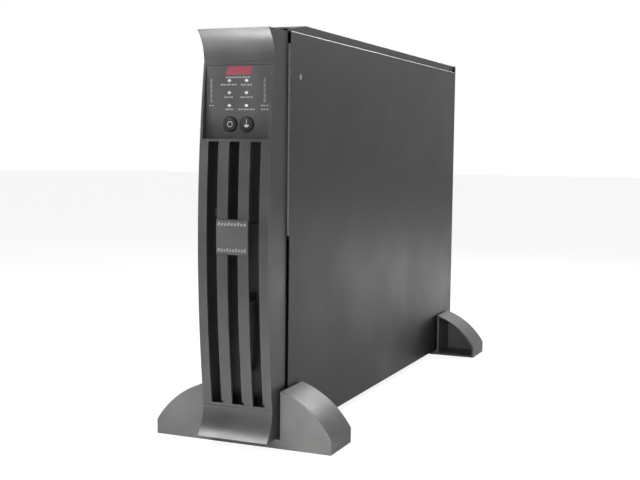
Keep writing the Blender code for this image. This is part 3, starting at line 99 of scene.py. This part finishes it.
# Marks round and on the buttons
RECESS_R = (0.0068, 0.0084)
RECESS_SUNK = 0.0006
RECESS_RISE = (0.0002, 0.0004)
ICON_R = 0.0027
ICON_WIRE = 0.00035
ICON_BAR_H = 0.0042
ICON_GAP = 0.0004
ICON_FRONT, ICON_BACK = -0.0002, 0.0006
ICON_SIDES = 16

# Lighter strip on the front edge of the side cover's tab: a painted highlight where the edge catches the
# light
TRIM_LOW, TRIM_TOP = 0.2195, 0.4165
TRIM_GAP = 0.0004
TRIM_INSET = 0.0001
TRIM_FRONT, TRIM_BACK = -0.00015, 0.0002

# Black lines over the front feet: painted shade for the groove along each foot's front edge
WING_LOW = 0.0148  # the outline above this height is the wing's
WING_TOL = 0.0003
SHADE_LINE_R = 0.00035
SHADE_LINE_SET_BACK = 0.0012
SHADE_LINE_CLEAR = 0.0001
SHADE_LINE_INSET = (0.2, 0.35)  # shares of the shade line's radius, across and down

# Dashes on the badge
BADGE_ROW_INSET = 0.0042
BADGE_ROW_COUNTS = (9, 10)
BADGE_MARGIN = 0.0015
BADGE_DASH = (0.14, 0.6)  # shares of the pitch: the gap before a dash, and its width
BADGE_DASH_DROP = 0.0016
BADGE_DASH_HEIGHTS = (0.0036, 0.0028)  # every third dash, and the rest
BADGE_SLANT = 0.25

# Rear panel
FAN_SCREW_R = 0.0030
FAN_SCREW_INSET = 0.0045
PANEL_SCREW_R = 0.0022
PANEL_SCREW_INSET = 0.0040
PANEL_SCREW_SHARES = (0.0, 0.36)
HEAD_RISE = 0.5
SOCKET_R = 0.30
SOCKET_FLOOR, SOCKET_RIM = 0.45, 0.96
HEAD_SUNK = 0.0003
SERIAL_DROP = 0.012
PIN_ROWS = ((5, 0.0014), (4, -0.0014))  # number of pins, height from the middle
PIN_PITCH = 0.0027
PIN_PROFILE = [(0.0, 0.0004), (0.0005, 0.0002), (0.0005, -0.003)]
RIM_HALF = (0.0073, 0.0032)
RIM_SLANT = 0.0008
RIM_WIRE = 0.0005
PLATE_X = (0.006, 0.034)
PLATE_Z = (0.048, 0.056)
PLATE_Y = (-0.0001, 0.0002)

# Camera, floor and light
CAMERA = (0.4974, CHASSIS_FRONT - 0.995, 0.3103)
YAW, PITCH, ROLL = 22.8731, -4.9536, 0.6586
LENS_MM = 59.58
SENSOR_MM = 36.0
FLOOR_RADIUS = 12.0
FLOOR_DROP = 0.0002
FLOOR_GLOW = 1.2
FLOOR_SHARE = 0.75
WORLD_BACK = 0.62
WORLD_BASE = 0.04
PANELS = {  # place, the point it faces, size, radiance, spread in degrees
    "overhead": ((0.05, 0.0, 1.3), (0.05, 0.0, 0.0), (0.6, 0.5), 3.2, 180),
    "high_left_front": ((-0.7, -0.9, 1.3), (0.0, -0.33, 0.02), (0.5, 0.5), 19.0, 180),
    "high_back": ((0.35, 1.2, 1.1), (0.05, -0.2, 0.0), (0.6, 0.4), 17.0, 180),
    "front": ((0.30, -1.55, 0.50), (0.05, -0.29, 0.20), (0.4, 0.4), 15.0, 180),
    "left_floor": ((-0.45, -0.80, 0.003), (-0.45, -0.80, 1.0), (0.22, 0.22), 5.0, 180),
    "right_floor": ((0.55, 1.3, 0.003), (0.55, 1.3, 1.0), (0.7, 1.2), 1.3, 180),
    "under_top_flare": ((-0.09, -0.44, 0.15), (-0.09, -0.44, 1.0), (0.13, 0.12), 15.0, 90),
    "over_low_flare": ((-0.10, -0.47, 0.20), (-0.10, -0.47, 0.0), (0.10, 0.14), 4.5, 100),
    "by_right_foot": ((0.11, -0.44, 0.025), (0.08, -0.31, 0.025), (0.08, 0.03), 16.0, 180),
}


# Meshes


def box_shape(bm, low, high):
    corners = bmesh.ops.create_cube(bm, size=1.0)["verts"]
    bmesh.ops.scale(bm, vec=[b - a for a, b in zip(low, high)], verts=corners)
    bmesh.ops.translate(bm, vec=[(a + b) / 2 for a, b in zip(low, high)], verts=corners)
    return corners


def make_piece(name, bm, body, look):
    bmesh.ops.recalc_face_normals(bm, faces=bm.faces)
    mesh = bpy.data.meshes.new(name)
    bm.to_mesh(mesh)
    bm.free()
    mesh.materials.append(look)
    mesh.shade_smooth()
    mesh.set_sharp_from_angle(angle=SHARP_ANGLE)
    piece = bpy.data.objects.new(name, mesh)
    SCENE.collection.objects.link(piece)
    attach(piece, body)
    return piece


def round_edges(piece, width, segments=2):
    """Softens edges and evens out the shading; the mesh itself stays as it is."""
    weld = piece.modifiers.new("weld", "WELD")
    weld.merge_threshold = WELD_GAP
    bevel = piece.modifiers.new("soft_edges", "BEVEL")
    bevel.width = width
    bevel.segments = segments
    bevel.limit_method = "ANGLE"
    bevel.angle_limit = SHARP_ANGLE
    normals = piece.modifiers.new("even_normals", "WEIGHTED_NORMAL")
    normals.keep_sharp = False


# Materials


class Look:
    """A Principled material with procedural grain, laid out in the object's own metres."""

    def __init__(self, name, roughness=0.5, metallic=0.0, specular=0.5):
        self.material = bpy.data.materials.new(name)
        self.material.use_nodes = True
        self.tree = self.material.node_tree
        self.shader = self.tree.nodes["Principled BSDF"]
        self.shader.inputs["Roughness"].default_value = roughness
        self.shader.inputs["Metallic"].default_value = metallic
        self.shader.inputs["Specular IOR Level"].default_value = specular
        self.place = self.node("ShaderNodeTexCoord").outputs["Object"]

    def node(self, kind, **settings):
        made = self.tree.nodes.new(kind)
        for key, value in settings.items():
            setattr(made, key, value)
        return made

    def link(self, source, target):
        self.tree.links.new(source, target)

    def stretched(self, scale):
        mapping = self.node("ShaderNodeMapping")
        mapping.inputs["Scale"].default_value = scale
        self.link(self.place, mapping.inputs["Vector"])
        return mapping.outputs["Vector"]

    def noise(self, scale, detail=3.0, place=None):
        made = self.node("ShaderNodeTexNoise")
        made.inputs["Scale"].default_value = scale
        made.inputs["Detail"].default_value = detail
        self.link(place or self.place, made.inputs["Vector"])
        return made.outputs["Fac"]

    def mapped(self, value, low, high, start=0.3, end=0.7):
        made = self.node("ShaderNodeMapRange")
        made.inputs["From Min"].default_value = start
        made.inputs["From Max"].default_value = end
        made.inputs["To Min"].default_value = low
        made.inputs["To Max"].default_value = high
        self.link(value, made.inputs["Value"])
        return made.outputs["Result"]

    def ramp(self, value, stops):
        made = self.node("ShaderNodeValToRGB")
        elements = made.color_ramp.elements
        while len(elements) < len(stops):
            elements.new(0.5)
        for element, (position, colour) in zip(elements, stops):
            element.position = position
            element.color = (*colour, 1.0)
        self.link(value, made.inputs["Fac"])
        return made.outputs["Color"]

    def mix(self, factor, first, colour):
        """Goes from the first socket's colour to a plain colour; 6, 7 and 2 are the node's colour sockets."""
        made = self.node("ShaderNodeMix", data_type="RGBA")
        self.link(factor, made.inputs[0])
        self.link(first, made.inputs[6])
        made.inputs[7].default_value = (*colour, 1.0)
        return made.outputs[2]

    def colour(self, value):
        self.link(value, self.shader.inputs["Base Color"])

    def rough(self, value):
        self.link(value, self.shader.inputs["Roughness"])

    def bump(self, height, strength, distance):
        made = self.node("ShaderNodeBump")
        made.inputs["Strength"].default_value = strength
        made.inputs["Distance"].default_value = distance
        self.link(height, made.inputs["Height"])
        self.link(made.outputs["Normal"], self.shader.inputs["Normal"])

    def worn_edges(self):
        """A mask that is 1 along convex and concave edges."""
        rounded = self.node("ShaderNodeBevel", samples=4)
        rounded.inputs["Radius"].default_value = WEAR_R
        flat = self.node("ShaderNodeNewGeometry")
        dot = self.node("ShaderNodeVectorMath", operation="DOT_PRODUCT")
        self.link(rounded.outputs["Normal"], dot.inputs[0])
        self.link(flat.outputs["Normal"], dot.inputs[1])
        return self.mapped(dot.outputs["Value"], 1.0, 0.0, 1.0 - WEAR_REACH, 1.0)


def shade(colour, factor):
    return tuple(channel * factor for channel in colour)


def grained(name, colour, roughness, grain=1400.0, depth=0.00006, strength=0.5, spread=0.16,
            mottle=35.0, wear=None, specular=0.5):
    """Moulded or coated surface: fine grain in height and tone, slow mottling, lighter worn edges."""
    look = Look(name, roughness, specular=specular)
    fine = look.noise(grain, 2.0)
    slow = look.noise(mottle, 4.0)
    base = look.ramp(slow, [(0.30, shade(colour, 1 - spread)), (0.70, shade(colour, 1 + spread))])
    toned = look.mix(look.mapped(fine, 0.0, 0.35), base, shade(colour, 1.35))
    if wear:
        patchy = look.node("ShaderNodeMath", operation="MULTIPLY")
        look.link(look.worn_edges(), patchy.inputs[0])
        look.link(look.mapped(look.noise(160.0, 4.0), 0.1, 0.8, 0.4, 0.6), patchy.inputs[1])
        toned = look.mix(patchy.outputs[0], toned, wear)
    look.colour(toned)
    look.rough(look.mapped(slow, roughness - 0.05, roughness + 0.05))
    look.bump(fine, strength, depth)
    return look.material


def brushed(name, colour, roughness):
    """Rolled or plated sheet: fine streaks along Y, over slow cloudy spangle."""
    look = Look(name, roughness, 1.0)
    streaks = look.noise(1.0, 3.0, look.stretched((2600.0, 40.0, 2600.0)))
    clouds = look.noise(60.0, 3.0)
    look.colour(look.ramp(clouds, [(0.3, shade(colour, 0.86)), (0.7, shade(colour, 1.06))]))
    look.rough(look.mapped(streaks, roughness - 0.08, roughness + 0.12))
    look.bump(streaks, 0.25, 0.00002)
    return look.material


def layered(name, light, dark, pitch, axis, roughness, metallic):
    """Stacked sheets or wound wire: even bands across one axis."""
    look = Look(name, roughness, metallic)
    bands = look.node("ShaderNodeTexWave", wave_type="BANDS", bands_direction=axis)
    bands.inputs["Scale"].default_value = math.tau / pitch / 20
    bands.inputs["Distortion"].default_value = 0.4
    bands.inputs["Detail"].default_value = 2.0
    look.link(look.place, bands.inputs["Vector"])
    wave = bands.outputs["Fac"]
    look.colour(look.ramp(wave, [(0.2, dark), (0.8, light)]))
    look.rough(look.mapped(look.noise(300.0), roughness - 0.08, roughness + 0.08))
    look.bump(wave, 0.5, pitch / 6)
    return look.material


def circuit_board(name):
    """Solder mask with traces a little lighter than it and rows of tinned pads."""
    look = Look(name, 0.35)
    traces = look.node("ShaderNodeTexBrick", offset=0.37, squash=1.6)
    traces.inputs["Scale"].default_value = 190.0
    traces.inputs["Mortar Size"].default_value = 0.05
    look.link(look.place, traces.inputs["Vector"])
    traces.inputs["Color1"].default_value = (0.012, 0.105, 0.045, 1)
    traces.inputs["Color2"].default_value = (0.016, 0.125, 0.052, 1)
    traces.inputs["Mortar"].default_value = (0.030, 0.190, 0.080, 1)
    pads = look.node("ShaderNodeTexVoronoi", feature="DISTANCE_TO_EDGE")
    pads.inputs["Scale"].default_value = 210.0
    look.link(look.place, pads.inputs["Vector"])
    mask = look.mapped(pads.outputs["Distance"], 0.0, 1.0, 0.42, 0.46)
    look.colour(look.mix(mask, traces.outputs["Color"], (0.55, 0.52, 0.46)))
    look.rough(look.mapped(look.noise(120.0), 0.28, 0.42))
    look.bump(traces.outputs["Fac"], 0.3, 0.00004)
    return look.material


def striped(name, colour, pitch):
    """Flat ribbon: one conductor after another across X."""
    look = Look(name, 0.45)
    bands = look.node("ShaderNodeTexWave", wave_type="BANDS", bands_direction="X")
    bands.inputs["Scale"].default_value = math.tau / pitch / 20
    look.link(look.place, bands.inputs["Vector"])
    look.colour(look.ramp(bands.outputs["Fac"], [(0.1, shade(colour, 0.5)), (0.6, colour)]))
    look.bump(bands.outputs["Fac"], 0.6, 0.0003)
    return look.material


LOOKS = {
    "powder_coat": grained("powder_coat", POWDER, 0.42, grain=1500.0, depth=0.00010, strength=0.35,
                           mottle=9.0, spread=0.10, wear=(0.10, 0.10, 0.10), specular=0.7),
    "plated_steel": brushed("plated_steel", (0.50, 0.50, 0.49), 0.32),
    "bezel_plastic": grained("bezel_plastic", BEZEL, 0.34, grain=1900.0, wear=(0.16, 0.16, 0.16)),
    "badge": grained("badge", (0.066, 0.0655, 0.0645), 0.50, grain=2400.0, depth=0.00003),
    "panel_plastic": grained("panel_plastic", PANEL, 0.36, grain=1700.0, depth=0.00004, strength=0.3),
    "light_guide": grained("light_guide", (0.17, 0.17, 0.165), 0.25, grain=900.0, depth=0.00002),
    "button_plastic": grained("button_plastic", (0.022, 0.022, 0.0225), 0.34, grain=2000.0),
    "circuit_board": circuit_board("circuit_board"),
    "ribbon": striped("ribbon", (0.55, 0.55, 0.55), 0.00127),
    "red_plastic": grained("red_plastic", (0.42, 0.02, 0.015), 0.30, grain=900.0, depth=0.00003),
    "aluminium": brushed("aluminium", (0.66, 0.66, 0.68), 0.30),
    "core_steel": layered("core_steel", (0.20, 0.20, 0.21), (0.08, 0.08, 0.085), 0.001, "X", 0.45, 0.9),
    "copper_winding": layered("copper_winding", (0.55, 0.22, 0.08), (0.20, 0.07, 0.025), 0.0016, "Z",
                              0.30, 0.8),
    "battery_case": grained("battery_case", (0.022, 0.022, 0.024), 0.50, grain=700.0, depth=0.00012),
    "foot_plastic": grained("foot_plastic", FOOT, 0.40, grain=1700.0, wear=(0.30, 0.30, 0.30)),
    "black_plastic": grained("black_plastic", (0.012, 0.012, 0.012), 0.42, grain=1300.0),
}
PRINT = grained("white_print", (0.24, 0.24, 0.235), 0.5, grain=3000.0, depth=0.00001, mottle=700.0,
                spread=0.25)
RED_PRINT = grained("red_print", (0.190, 0.034, 0.047), 0.45, grain=2500.0, depth=0.00002, mottle=400.0)
LENS = grained("light_lens", (0.46, 0.46, 0.44), 0.12, grain=600.0, depth=0.00002)
PRINT_BRIGHT = grained("mark_print", (0.42, 0.42, 0.41), 0.4, grain=3000.0, depth=0.00001)
PRINT_BADGE = grained("badge_print", (0.24, 0.24, 0.236), 0.45, grain=3000.0, depth=0.00001, mottle=500.0)
# Light grey for the tab's front edge, far lighter than the powder coat round it: a painted highlight.
TAB_EDGE_HIGHLIGHT = grained("tab_edge_painted_highlight", (0.15, 0.15, 0.148), 0.50, grain=900.0, mottle=260.0, spread=0.30)


def dress_cad_nodes():
    """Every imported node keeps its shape, and gets its slot's material and softer edges."""
    slots = {part["node"]: part["material_slot"] for part in frame["record"]["subparts"]}
    for name, node in NODES.items():
        node.data.materials.clear()
        node.data.materials.append(LOOKS[slots[name]])
        node.data.shade_smooth()
        width = next((size for key, size in EDGES.items() if key in name), EDGES["default"])
        round_edges(node, width)


# Display


def panel_point(x, z, y=0.0):
    return Vector((x, PANEL_FACE + y, PANEL_LOW.z + z))


def add_print():
    """Dashes in the place of the small lines of print, and a slanted red block; no letters."""
    bm = bmesh.new()
    for start, end, z, height, count in PRINT_LINES:
        pitch = (end - start) / count
        for index in range(count):
            left = start + index * pitch
            right = left + pitch * PRINT_FILL[index % 2]
            box_shape(bm, panel_point(left, z - height / 2, -PRINT_T), panel_point(right, z + height / 2))
    make_piece("display_print", bm, "chassis", PRINT)

    x, z, wide, high = RED_MARK
    lean = high * RED_SLANT / 2
    low = panel_point(x - wide / 2, z - high / 2, -PRINT_T)
    bm = bmesh.new()
    for corner in box_shape(bm, low, panel_point(x + wide / 2, z + high / 2)):
        corner.co.x += lean if corner.co.z > PANEL_LOW.z + z else -lean
    mark = make_piece("display_red_bar", bm, "chassis", RED_PRINT)
    bevel = mark.modifiers.new("round_corners", "BEVEL")
    bevel.width = RED_CORNER
    bevel.segments = 4
    bevel.limit_method = "ANGLE"
    bevel.affect = "EDGES"


def add_lenses():
    """Six oval lenses, domed over the windows of the status lights."""
    bm = bmesh.new()
    for x in LIGHT_COLUMNS:
        for z in LIGHT_ROWS:
            dome = bmesh.ops.create_uvsphere(bm, u_segments=20, v_segments=12, radius=1.0)["verts"]
            bmesh.ops.scale(bm, vec=LENS_SIZE, verts=dome)
            bmesh.ops.translate(bm, vec=panel_point(x, z), verts=dome)
    make_piece("status_lenses", bm, "chassis", LENS)


# Shapes turned or swept for small parts


def lathe(bm, centre, profile, sides=32):
    """Spins an open profile of (radius, place along Y) points round the Y line through a centre."""
    line = Vector((0, 1, 0))
    ring = [bm.verts.new(Vector(centre) + Vector((0, along, radius))) for radius, along in profile]
    edges = [bm.edges.new(pair) for pair in zip(ring, ring[1:])]
    bmesh.ops.spin(bm, geom=ring + edges, cent=centre, axis=line, angle=math.tau, steps=sides, use_merge=True)
    bmesh.ops.remove_doubles(bm, verts=bm.verts, dist=0.000005)


def tube(bm, points, radius, closed=False, sides=8):
    """A round wire along points in an XZ plane, in rings square to it."""
    count = len(points)
    rings = []
    for index, point in enumerate(points):
        before = points[index - 1] if closed or index else point
        after = points[(index + 1) % count] if closed or index < count - 1 else point
        along = (after - before).normalized()
        across = Vector((0, 1, 0)).cross(along).normalized()
        other = along.cross(across)
        turns = [math.tau * step / sides for step in range(sides)]
        rings.append([
            bm.verts.new(point + radius * (math.cos(turn) * across + math.sin(turn) * other))
            for turn in turns
        ])
    pairs = list(zip(rings, rings[1:])) + ([(rings[-1], rings[0])] if closed else [])
    for first, second in pairs:
        for step in range(sides):
            ahead = (step + 1) % sides
            bm.faces.new((first[step], first[ahead], second[ahead], second[step]))
    if not closed:
        bm.faces.new(rings[0])
        bm.faces.new(rings[-1][::-1])


def circle_points(centre, radius, count=32):
    """Points of a circle in the XZ plane."""
    turns = [math.tau * step / count for step in range(count)]
    return [centre + Vector((radius * math.cos(turn), 0, radius * math.sin(turn))) for turn in turns]


# Buttons


def add_buttons():
    """Dark rings round both caps, a ring on the off cap, an upright line over a half disc on the on cap."""
    dish = PANEL_FACE + RECESS_SUNK
    inner, outer = RECESS_R
    near, far = (dish - rise for rise in RECESS_RISE)
    profile = [(inner, dish), (inner, near), (outer, far), (outer, dish), (inner, dish)]
    caps = {}
    bm = bmesh.new()
    for name in ("off_button", "on_button"):
        low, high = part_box(name)
        middle = (low + high) / 2
        lathe(bm, (middle.x, 0.0, middle.z), profile)
        caps[name] = Vector((middle.x, low.y, middle.z))
    make_piece("button_recesses", bm, "chassis", LOOKS["black_plastic"])

    bm = bmesh.new()
    tube(bm, circle_points(caps["off_button"], ICON_R), ICON_WIRE, closed=True)
    make_piece("off_mark", bm, "off_button", PRINT_BRIGHT)

    bm = bmesh.new()
    cap = caps["on_button"]
    foot = cap + Vector((0, 0, ICON_GAP))
    tube(bm, [foot, foot + Vector((0, 0, ICON_BAR_H))], ICON_WIRE)
    turns = [math.pi + math.pi * step / ICON_SIDES for step in range(ICON_SIDES + 1)]
    disc = [(ICON_R * math.cos(turn), ICON_R * math.sin(turn) - ICON_GAP) for turn in turns]
    front = [bm.verts.new(cap + Vector((x, ICON_FRONT, z))) for x, z in disc]
    back = [bm.verts.new(cap + Vector((x, ICON_BACK, z))) for x, z in disc]
    bm.faces.new(front)
    bm.faces.new(back[::-1])
    for index in range(len(disc)):
        ahead = (index + 1) % len(disc)
        bm.faces.new((front[index], back[index], back[ahead], front[ahead]))
    make_piece("on_mark", bm, "on_button", PRINT_BRIGHT)


# Case trim


def add_edge_trim():
    """The front edge of the side cover's tab, beside the bezel, coloured lighter than the powder coat: a
    painted highlight.
    """
    low = (BEZEL_HIGH.x + TRIM_GAP, CHASSIS_FRONT + TRIM_FRONT, TRIM_LOW)
    high = (COVER_HIGH.x - TRIM_INSET, CHASSIS_FRONT + TRIM_BACK, TRIM_TOP)
    bm = bmesh.new()
    box_shape(bm, low, high)
    # The strip's light colour is a painted highlight on the tab's edge.
    piece = make_piece("cover_front_edge", bm, "chassis", TAB_EDGE_HIGHLIGHT)
    round_edges(piece, THIN_EDGE, 1)


def wing_line(node, front):
    """A front foot's front outline above its tip, as points across and up, from its outer end inward."""
    places = [vertex.co for vertex in node.data.vertices if vertex.co.y < front + WING_TOL]
    points = {(round(place.x, 5), round(place.z, 5)) for place in places if place.z > WING_LOW}
    return sorted(points, key=lambda point: -abs(point[0]))


def add_foot_seams():
    """A black line over the top of a front foot's face: painted shade for the groove there."""
    bm = bmesh.new()
    for name, side in (("front_foot_left", -1), ("front_foot_right", 1)):
        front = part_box(name)[0].y
        line = wing_line(NODES[name], front)
        reach = abs(line[0][0]) - SHADE_LINE_R - SHADE_LINE_CLEAR
        across, down = (SHADE_LINE_R * share for share in SHADE_LINE_INSET)
        points = [(min(abs(x) - across, reach), z - down) for x, z in line]
        tube(bm, [Vector((side * x, front + SHADE_LINE_SET_BACK, z)) for x, z in points], SHADE_LINE_R)
    # Black plastic stands in for the shade in the groove: painted shade.
    make_piece("foot_groove_shade", bm, "chassis", LOOKS["black_plastic"])


# Badge marks


def add_badge_marks():
    """Two rows of slanted dashes on the badge, one near its top and one near its bottom; no letters."""
    bm = bmesh.new()
    room = BADGE_HIGH.x - BADGE_LOW.x - 2 * BADGE_MARGIN
    gap, fill = BADGE_DASH
    rows = (BADGE_HIGH.z - BADGE_ROW_INSET, BADGE_LOW.z + BADGE_ROW_INSET)
    for z, count in zip(rows, BADGE_ROW_COUNTS):
        pitch = room / count
        base = z - BADGE_DASH_DROP
        for index in range(count):
            left = BADGE_LOW.x + BADGE_MARGIN + pitch * (index + gap)
            high = BADGE_DASH_HEIGHTS[0 if index % 3 == 0 else 1]
            low_corner = (left, BADGE_LOW.y - PRINT_T, base)
            for corner in box_shape(bm, low_corner, (left + pitch * fill, BADGE_LOW.y, base + high)):
                corner.co.x += BADGE_SLANT * (corner.co.z - z)
    make_piece("badge_marks", bm, "bezel", PRINT_BADGE)


# Rear panel


def add_screw_heads(name, places, radius):
    """Domed heads with a round socket, seated on the rear panel."""
    rise = radius * HEAD_RISE
    socket = radius * SOCKET_R
    turns = [math.pi / 2 * step / 6 for step in range(2, 7)]
    profile = [(0.0, rise * SOCKET_FLOOR), (socket, rise * SOCKET_FLOOR), (socket, rise * SOCKET_RIM)]
    profile += [(radius * math.sin(turn), rise * math.cos(turn)) for turn in turns]
    profile.append((radius, -HEAD_SUNK))
    bm = bmesh.new()
    for place in places:
        lathe(bm, place, profile, 20)
    make_piece(name, bm, "chassis", LOOKS["plated_steel"])


def add_rear_screws():
    """Four screws for each fan, and two down each side of the panel."""
    fan_places = []
    for number in (1, 2):
        low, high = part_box(f"fan_{number}_frame")
        for x in (low.x + FAN_SCREW_INSET, high.x - FAN_SCREW_INSET):
            for z in (low.z + FAN_SCREW_INSET, high.z - FAN_SCREW_INSET):
                fan_places.append((x, REAR_FACE, z))
    add_screw_heads("fan_screws", fan_places, FAN_SCREW_R)

    bottom = REAR_LOW.z + PANEL_SCREW_INSET
    room = REAR_HIGH.z - REAR_LOW.z - 2 * PANEL_SCREW_INSET
    panel_places = []
    for x in (REAR_LOW.x + PANEL_SCREW_INSET, REAR_HIGH.x - PANEL_SCREW_INSET):
        for share in PANEL_SCREW_SHARES:
            panel_places.append((x, REAR_FACE, bottom + room * share))
    add_screw_heads("rear_panel_screws", panel_places, PANEL_SCREW_R)


def rim_points(centre):
    """A four-sided ring with cut corners, wider at its top, like the rim of a serial port."""
    wide, high = RIM_HALF
    corners = [(-wide, high), (wide, high), (wide - RIM_SLANT, -high), (-wide + RIM_SLANT, -high)]
    points = []
    for (x, z), (next_x, next_z) in zip(corners, corners[1:] + corners[:1]):
        for share in (0.1, 0.5, 0.9):
            points.append(centre + Vector((x + (next_x - x) * share, 0, z + (next_z - z) * share)))
    return points


def add_serial_port():
    """Two rows of pins, and the bright rim round them."""
    low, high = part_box("interface_board")
    centre = Vector(((low.x + high.x) / 2, high.y, high.z - SERIAL_DROP))
    bm = bmesh.new()
    for count, offset in PIN_ROWS:
        for index in range(count):
            across = (index - (count - 1) / 2) * PIN_PITCH
            lathe(bm, centre + Vector((across, 0, offset)), PIN_PROFILE, 10)
    make_piece("serial_pins", bm, "chassis", LOOKS["aluminium"])

    bm = bmesh.new()
    tube(bm, rim_points(centre), RIM_WIRE, closed=True)
    make_piece("serial_rim", bm, "chassis", LOOKS["aluminium"])


def add_rating_plate():
    """A blank plate, level with the rear panel."""
    front, back = (REAR_FACE + offset for offset in PLATE_Y)
    bm = bmesh.new()
    box_shape(bm, (PLATE_X[0], front, PLATE_Z[0]), (PLATE_X[1], back, PLATE_Z[1]))
    plate = make_piece("rating_plate", bm, "chassis", PRINT_BADGE)
    round_edges(plate, THIN_EDGE, 1)


# Camera, floor and light


def add_camera():
    yaw, pitch, roll = (math.radians(angle) for angle in (YAW, PITCH, ROLL))
    forward = Vector((-math.sin(yaw) * math.cos(pitch), math.cos(yaw) * math.cos(pitch), math.sin(pitch)))
    level = Vector((math.cos(yaw), math.sin(yaw), 0.0))
    upright = level.cross(forward)
    right = math.cos(roll) * level + math.sin(roll) * upright
    up = -math.sin(roll) * level + math.cos(roll) * upright
    data = bpy.data.cameras.new("camera")
    data.lens = LENS_MM
    data.sensor_width = SENSOR_MM
    data.clip_start = 0.01
    camera = bpy.data.objects.new("camera", data)
    turned = Matrix((right, up, -forward)).transposed().to_4x4()
    camera.matrix_world = Matrix.Translation(CAMERA) @ turned
    SCENE.collection.objects.link(camera)
    SCENE.camera = camera


def add_floor():
    """A pale floor. The camera sees it partly lit by itself, so that it stays near white."""
    look = Look("pale_floor", 0.8, 0.0, 0.2)
    cloud = look.noise(3.0, 3.0)
    dull, pale = ((tone,) * 3 for tone in FLOOR_TONES)
    look.colour(look.ramp(cloud, [(0.3, dull), (0.7, pale)]))
    glow = look.node("ShaderNodeEmission")
    glow.inputs["Strength"].default_value = FLOOR_GLOW
    ray = look.node("ShaderNodeLightPath")
    share = look.node("ShaderNodeMath", operation="MULTIPLY")
    share.inputs[1].default_value = FLOOR_SHARE
    look.link(ray.outputs["Is Camera Ray"], share.inputs[0])
    both = look.node("ShaderNodeMixShader")
    look.link(share.outputs[0], both.inputs["Fac"])
    look.link(look.shader.outputs[0], both.inputs[1])
    look.link(glow.outputs[0], both.inputs[2])
    look.link(both.outputs[0], look.tree.nodes["Material Output"].inputs["Surface"])
    bm = bmesh.new()
    bmesh.ops.create_circle(bm, cap_ends=True, segments=96, radius=FLOOR_RADIUS)
    mesh = bpy.data.meshes.new("floor")
    bm.to_mesh(mesh)
    bm.free()
    mesh.materials.append(look.material)
    floor = bpy.data.objects.new("floor", mesh)
    floor.location.z = -FLOOR_DROP
    SCENE.collection.objects.link(floor)


def add_area(name, place, aim, size, radiance, spread):
    """A panel's power is its radiance times pi times its area."""
    data = bpy.data.lights.new(name, "AREA")
    data.shape = "RECTANGLE"
    data.size, data.size_y = size
    data.energy = radiance * math.pi * size[0] * size[1]
    data.spread = math.radians(spread)
    light = bpy.data.objects.new(name, data)
    light.location = place
    light.rotation_euler = (Vector(aim) - Vector(place)).to_track_quat("-Z", "Y").to_euler()
    light.visible_camera = False
    SCENE.collection.objects.link(light)


def add_world():
    """The camera sees plain white; the light comes mostly from behind the unit."""
    world = bpy.data.worlds.new("studio")
    world.use_nodes = True
    tree = world.node_tree

    def computed(kind, operation, source, *values):
        """A maths node fed by a socket, with the given values on its next sockets."""
        made = tree.nodes.new(kind)
        made.operation = operation
        tree.links.new(source, made.inputs[0])
        for index, value in enumerate(values, 1):
            made.inputs[index].default_value = value
        return made.outputs["Value"]

    place = tree.nodes.new("ShaderNodeTexCoord").outputs["Generated"]
    toward = computed("ShaderNodeVectorMath", "DOT_PRODUCT", place, (0.0, 1.0, 0.0))
    ahead = computed("ShaderNodeMath", "MAXIMUM", toward, 0.0)
    lobe = computed("ShaderNodeMath", "POWER", ahead, 2.0)
    level = computed("ShaderNodeMath", "MULTIPLY_ADD", lobe, WORLD_BACK, WORLD_BASE)
    glow = tree.nodes["Background"]
    tree.links.new(level, glow.inputs["Strength"])
    glow.inputs["Color"].default_value = (1.0, 1.0, 1.0, 1.0)
    plain = tree.nodes.new("ShaderNodeBackground")
    plain.inputs["Color"].default_value = (1.0, 1.0, 1.0, 1.0)
    ray = tree.nodes.new("ShaderNodeLightPath")
    mix = tree.nodes.new("ShaderNodeMixShader")
    tree.links.new(ray.outputs["Is Camera Ray"], mix.inputs["Fac"])
    tree.links.new(glow.outputs["Background"], mix.inputs[1])
    tree.links.new(plain.outputs["Background"], mix.inputs[2])
    tree.links.new(mix.outputs["Shader"], tree.nodes["World Output"].inputs["Surface"])
    SCENE.world = world
    SCENE.view_settings.view_transform = "Standard"


def add_lights():
    for name, panel in PANELS.items():
        add_area(name, *panel)


dress_cad_nodes()
add_print()
add_lenses()
add_buttons()
add_edge_trim()
add_foot_seams()
add_badge_marks()
add_rear_screws()
add_serial_port()
add_rating_plate()
add_camera()
add_floor()
add_world()
add_lights()
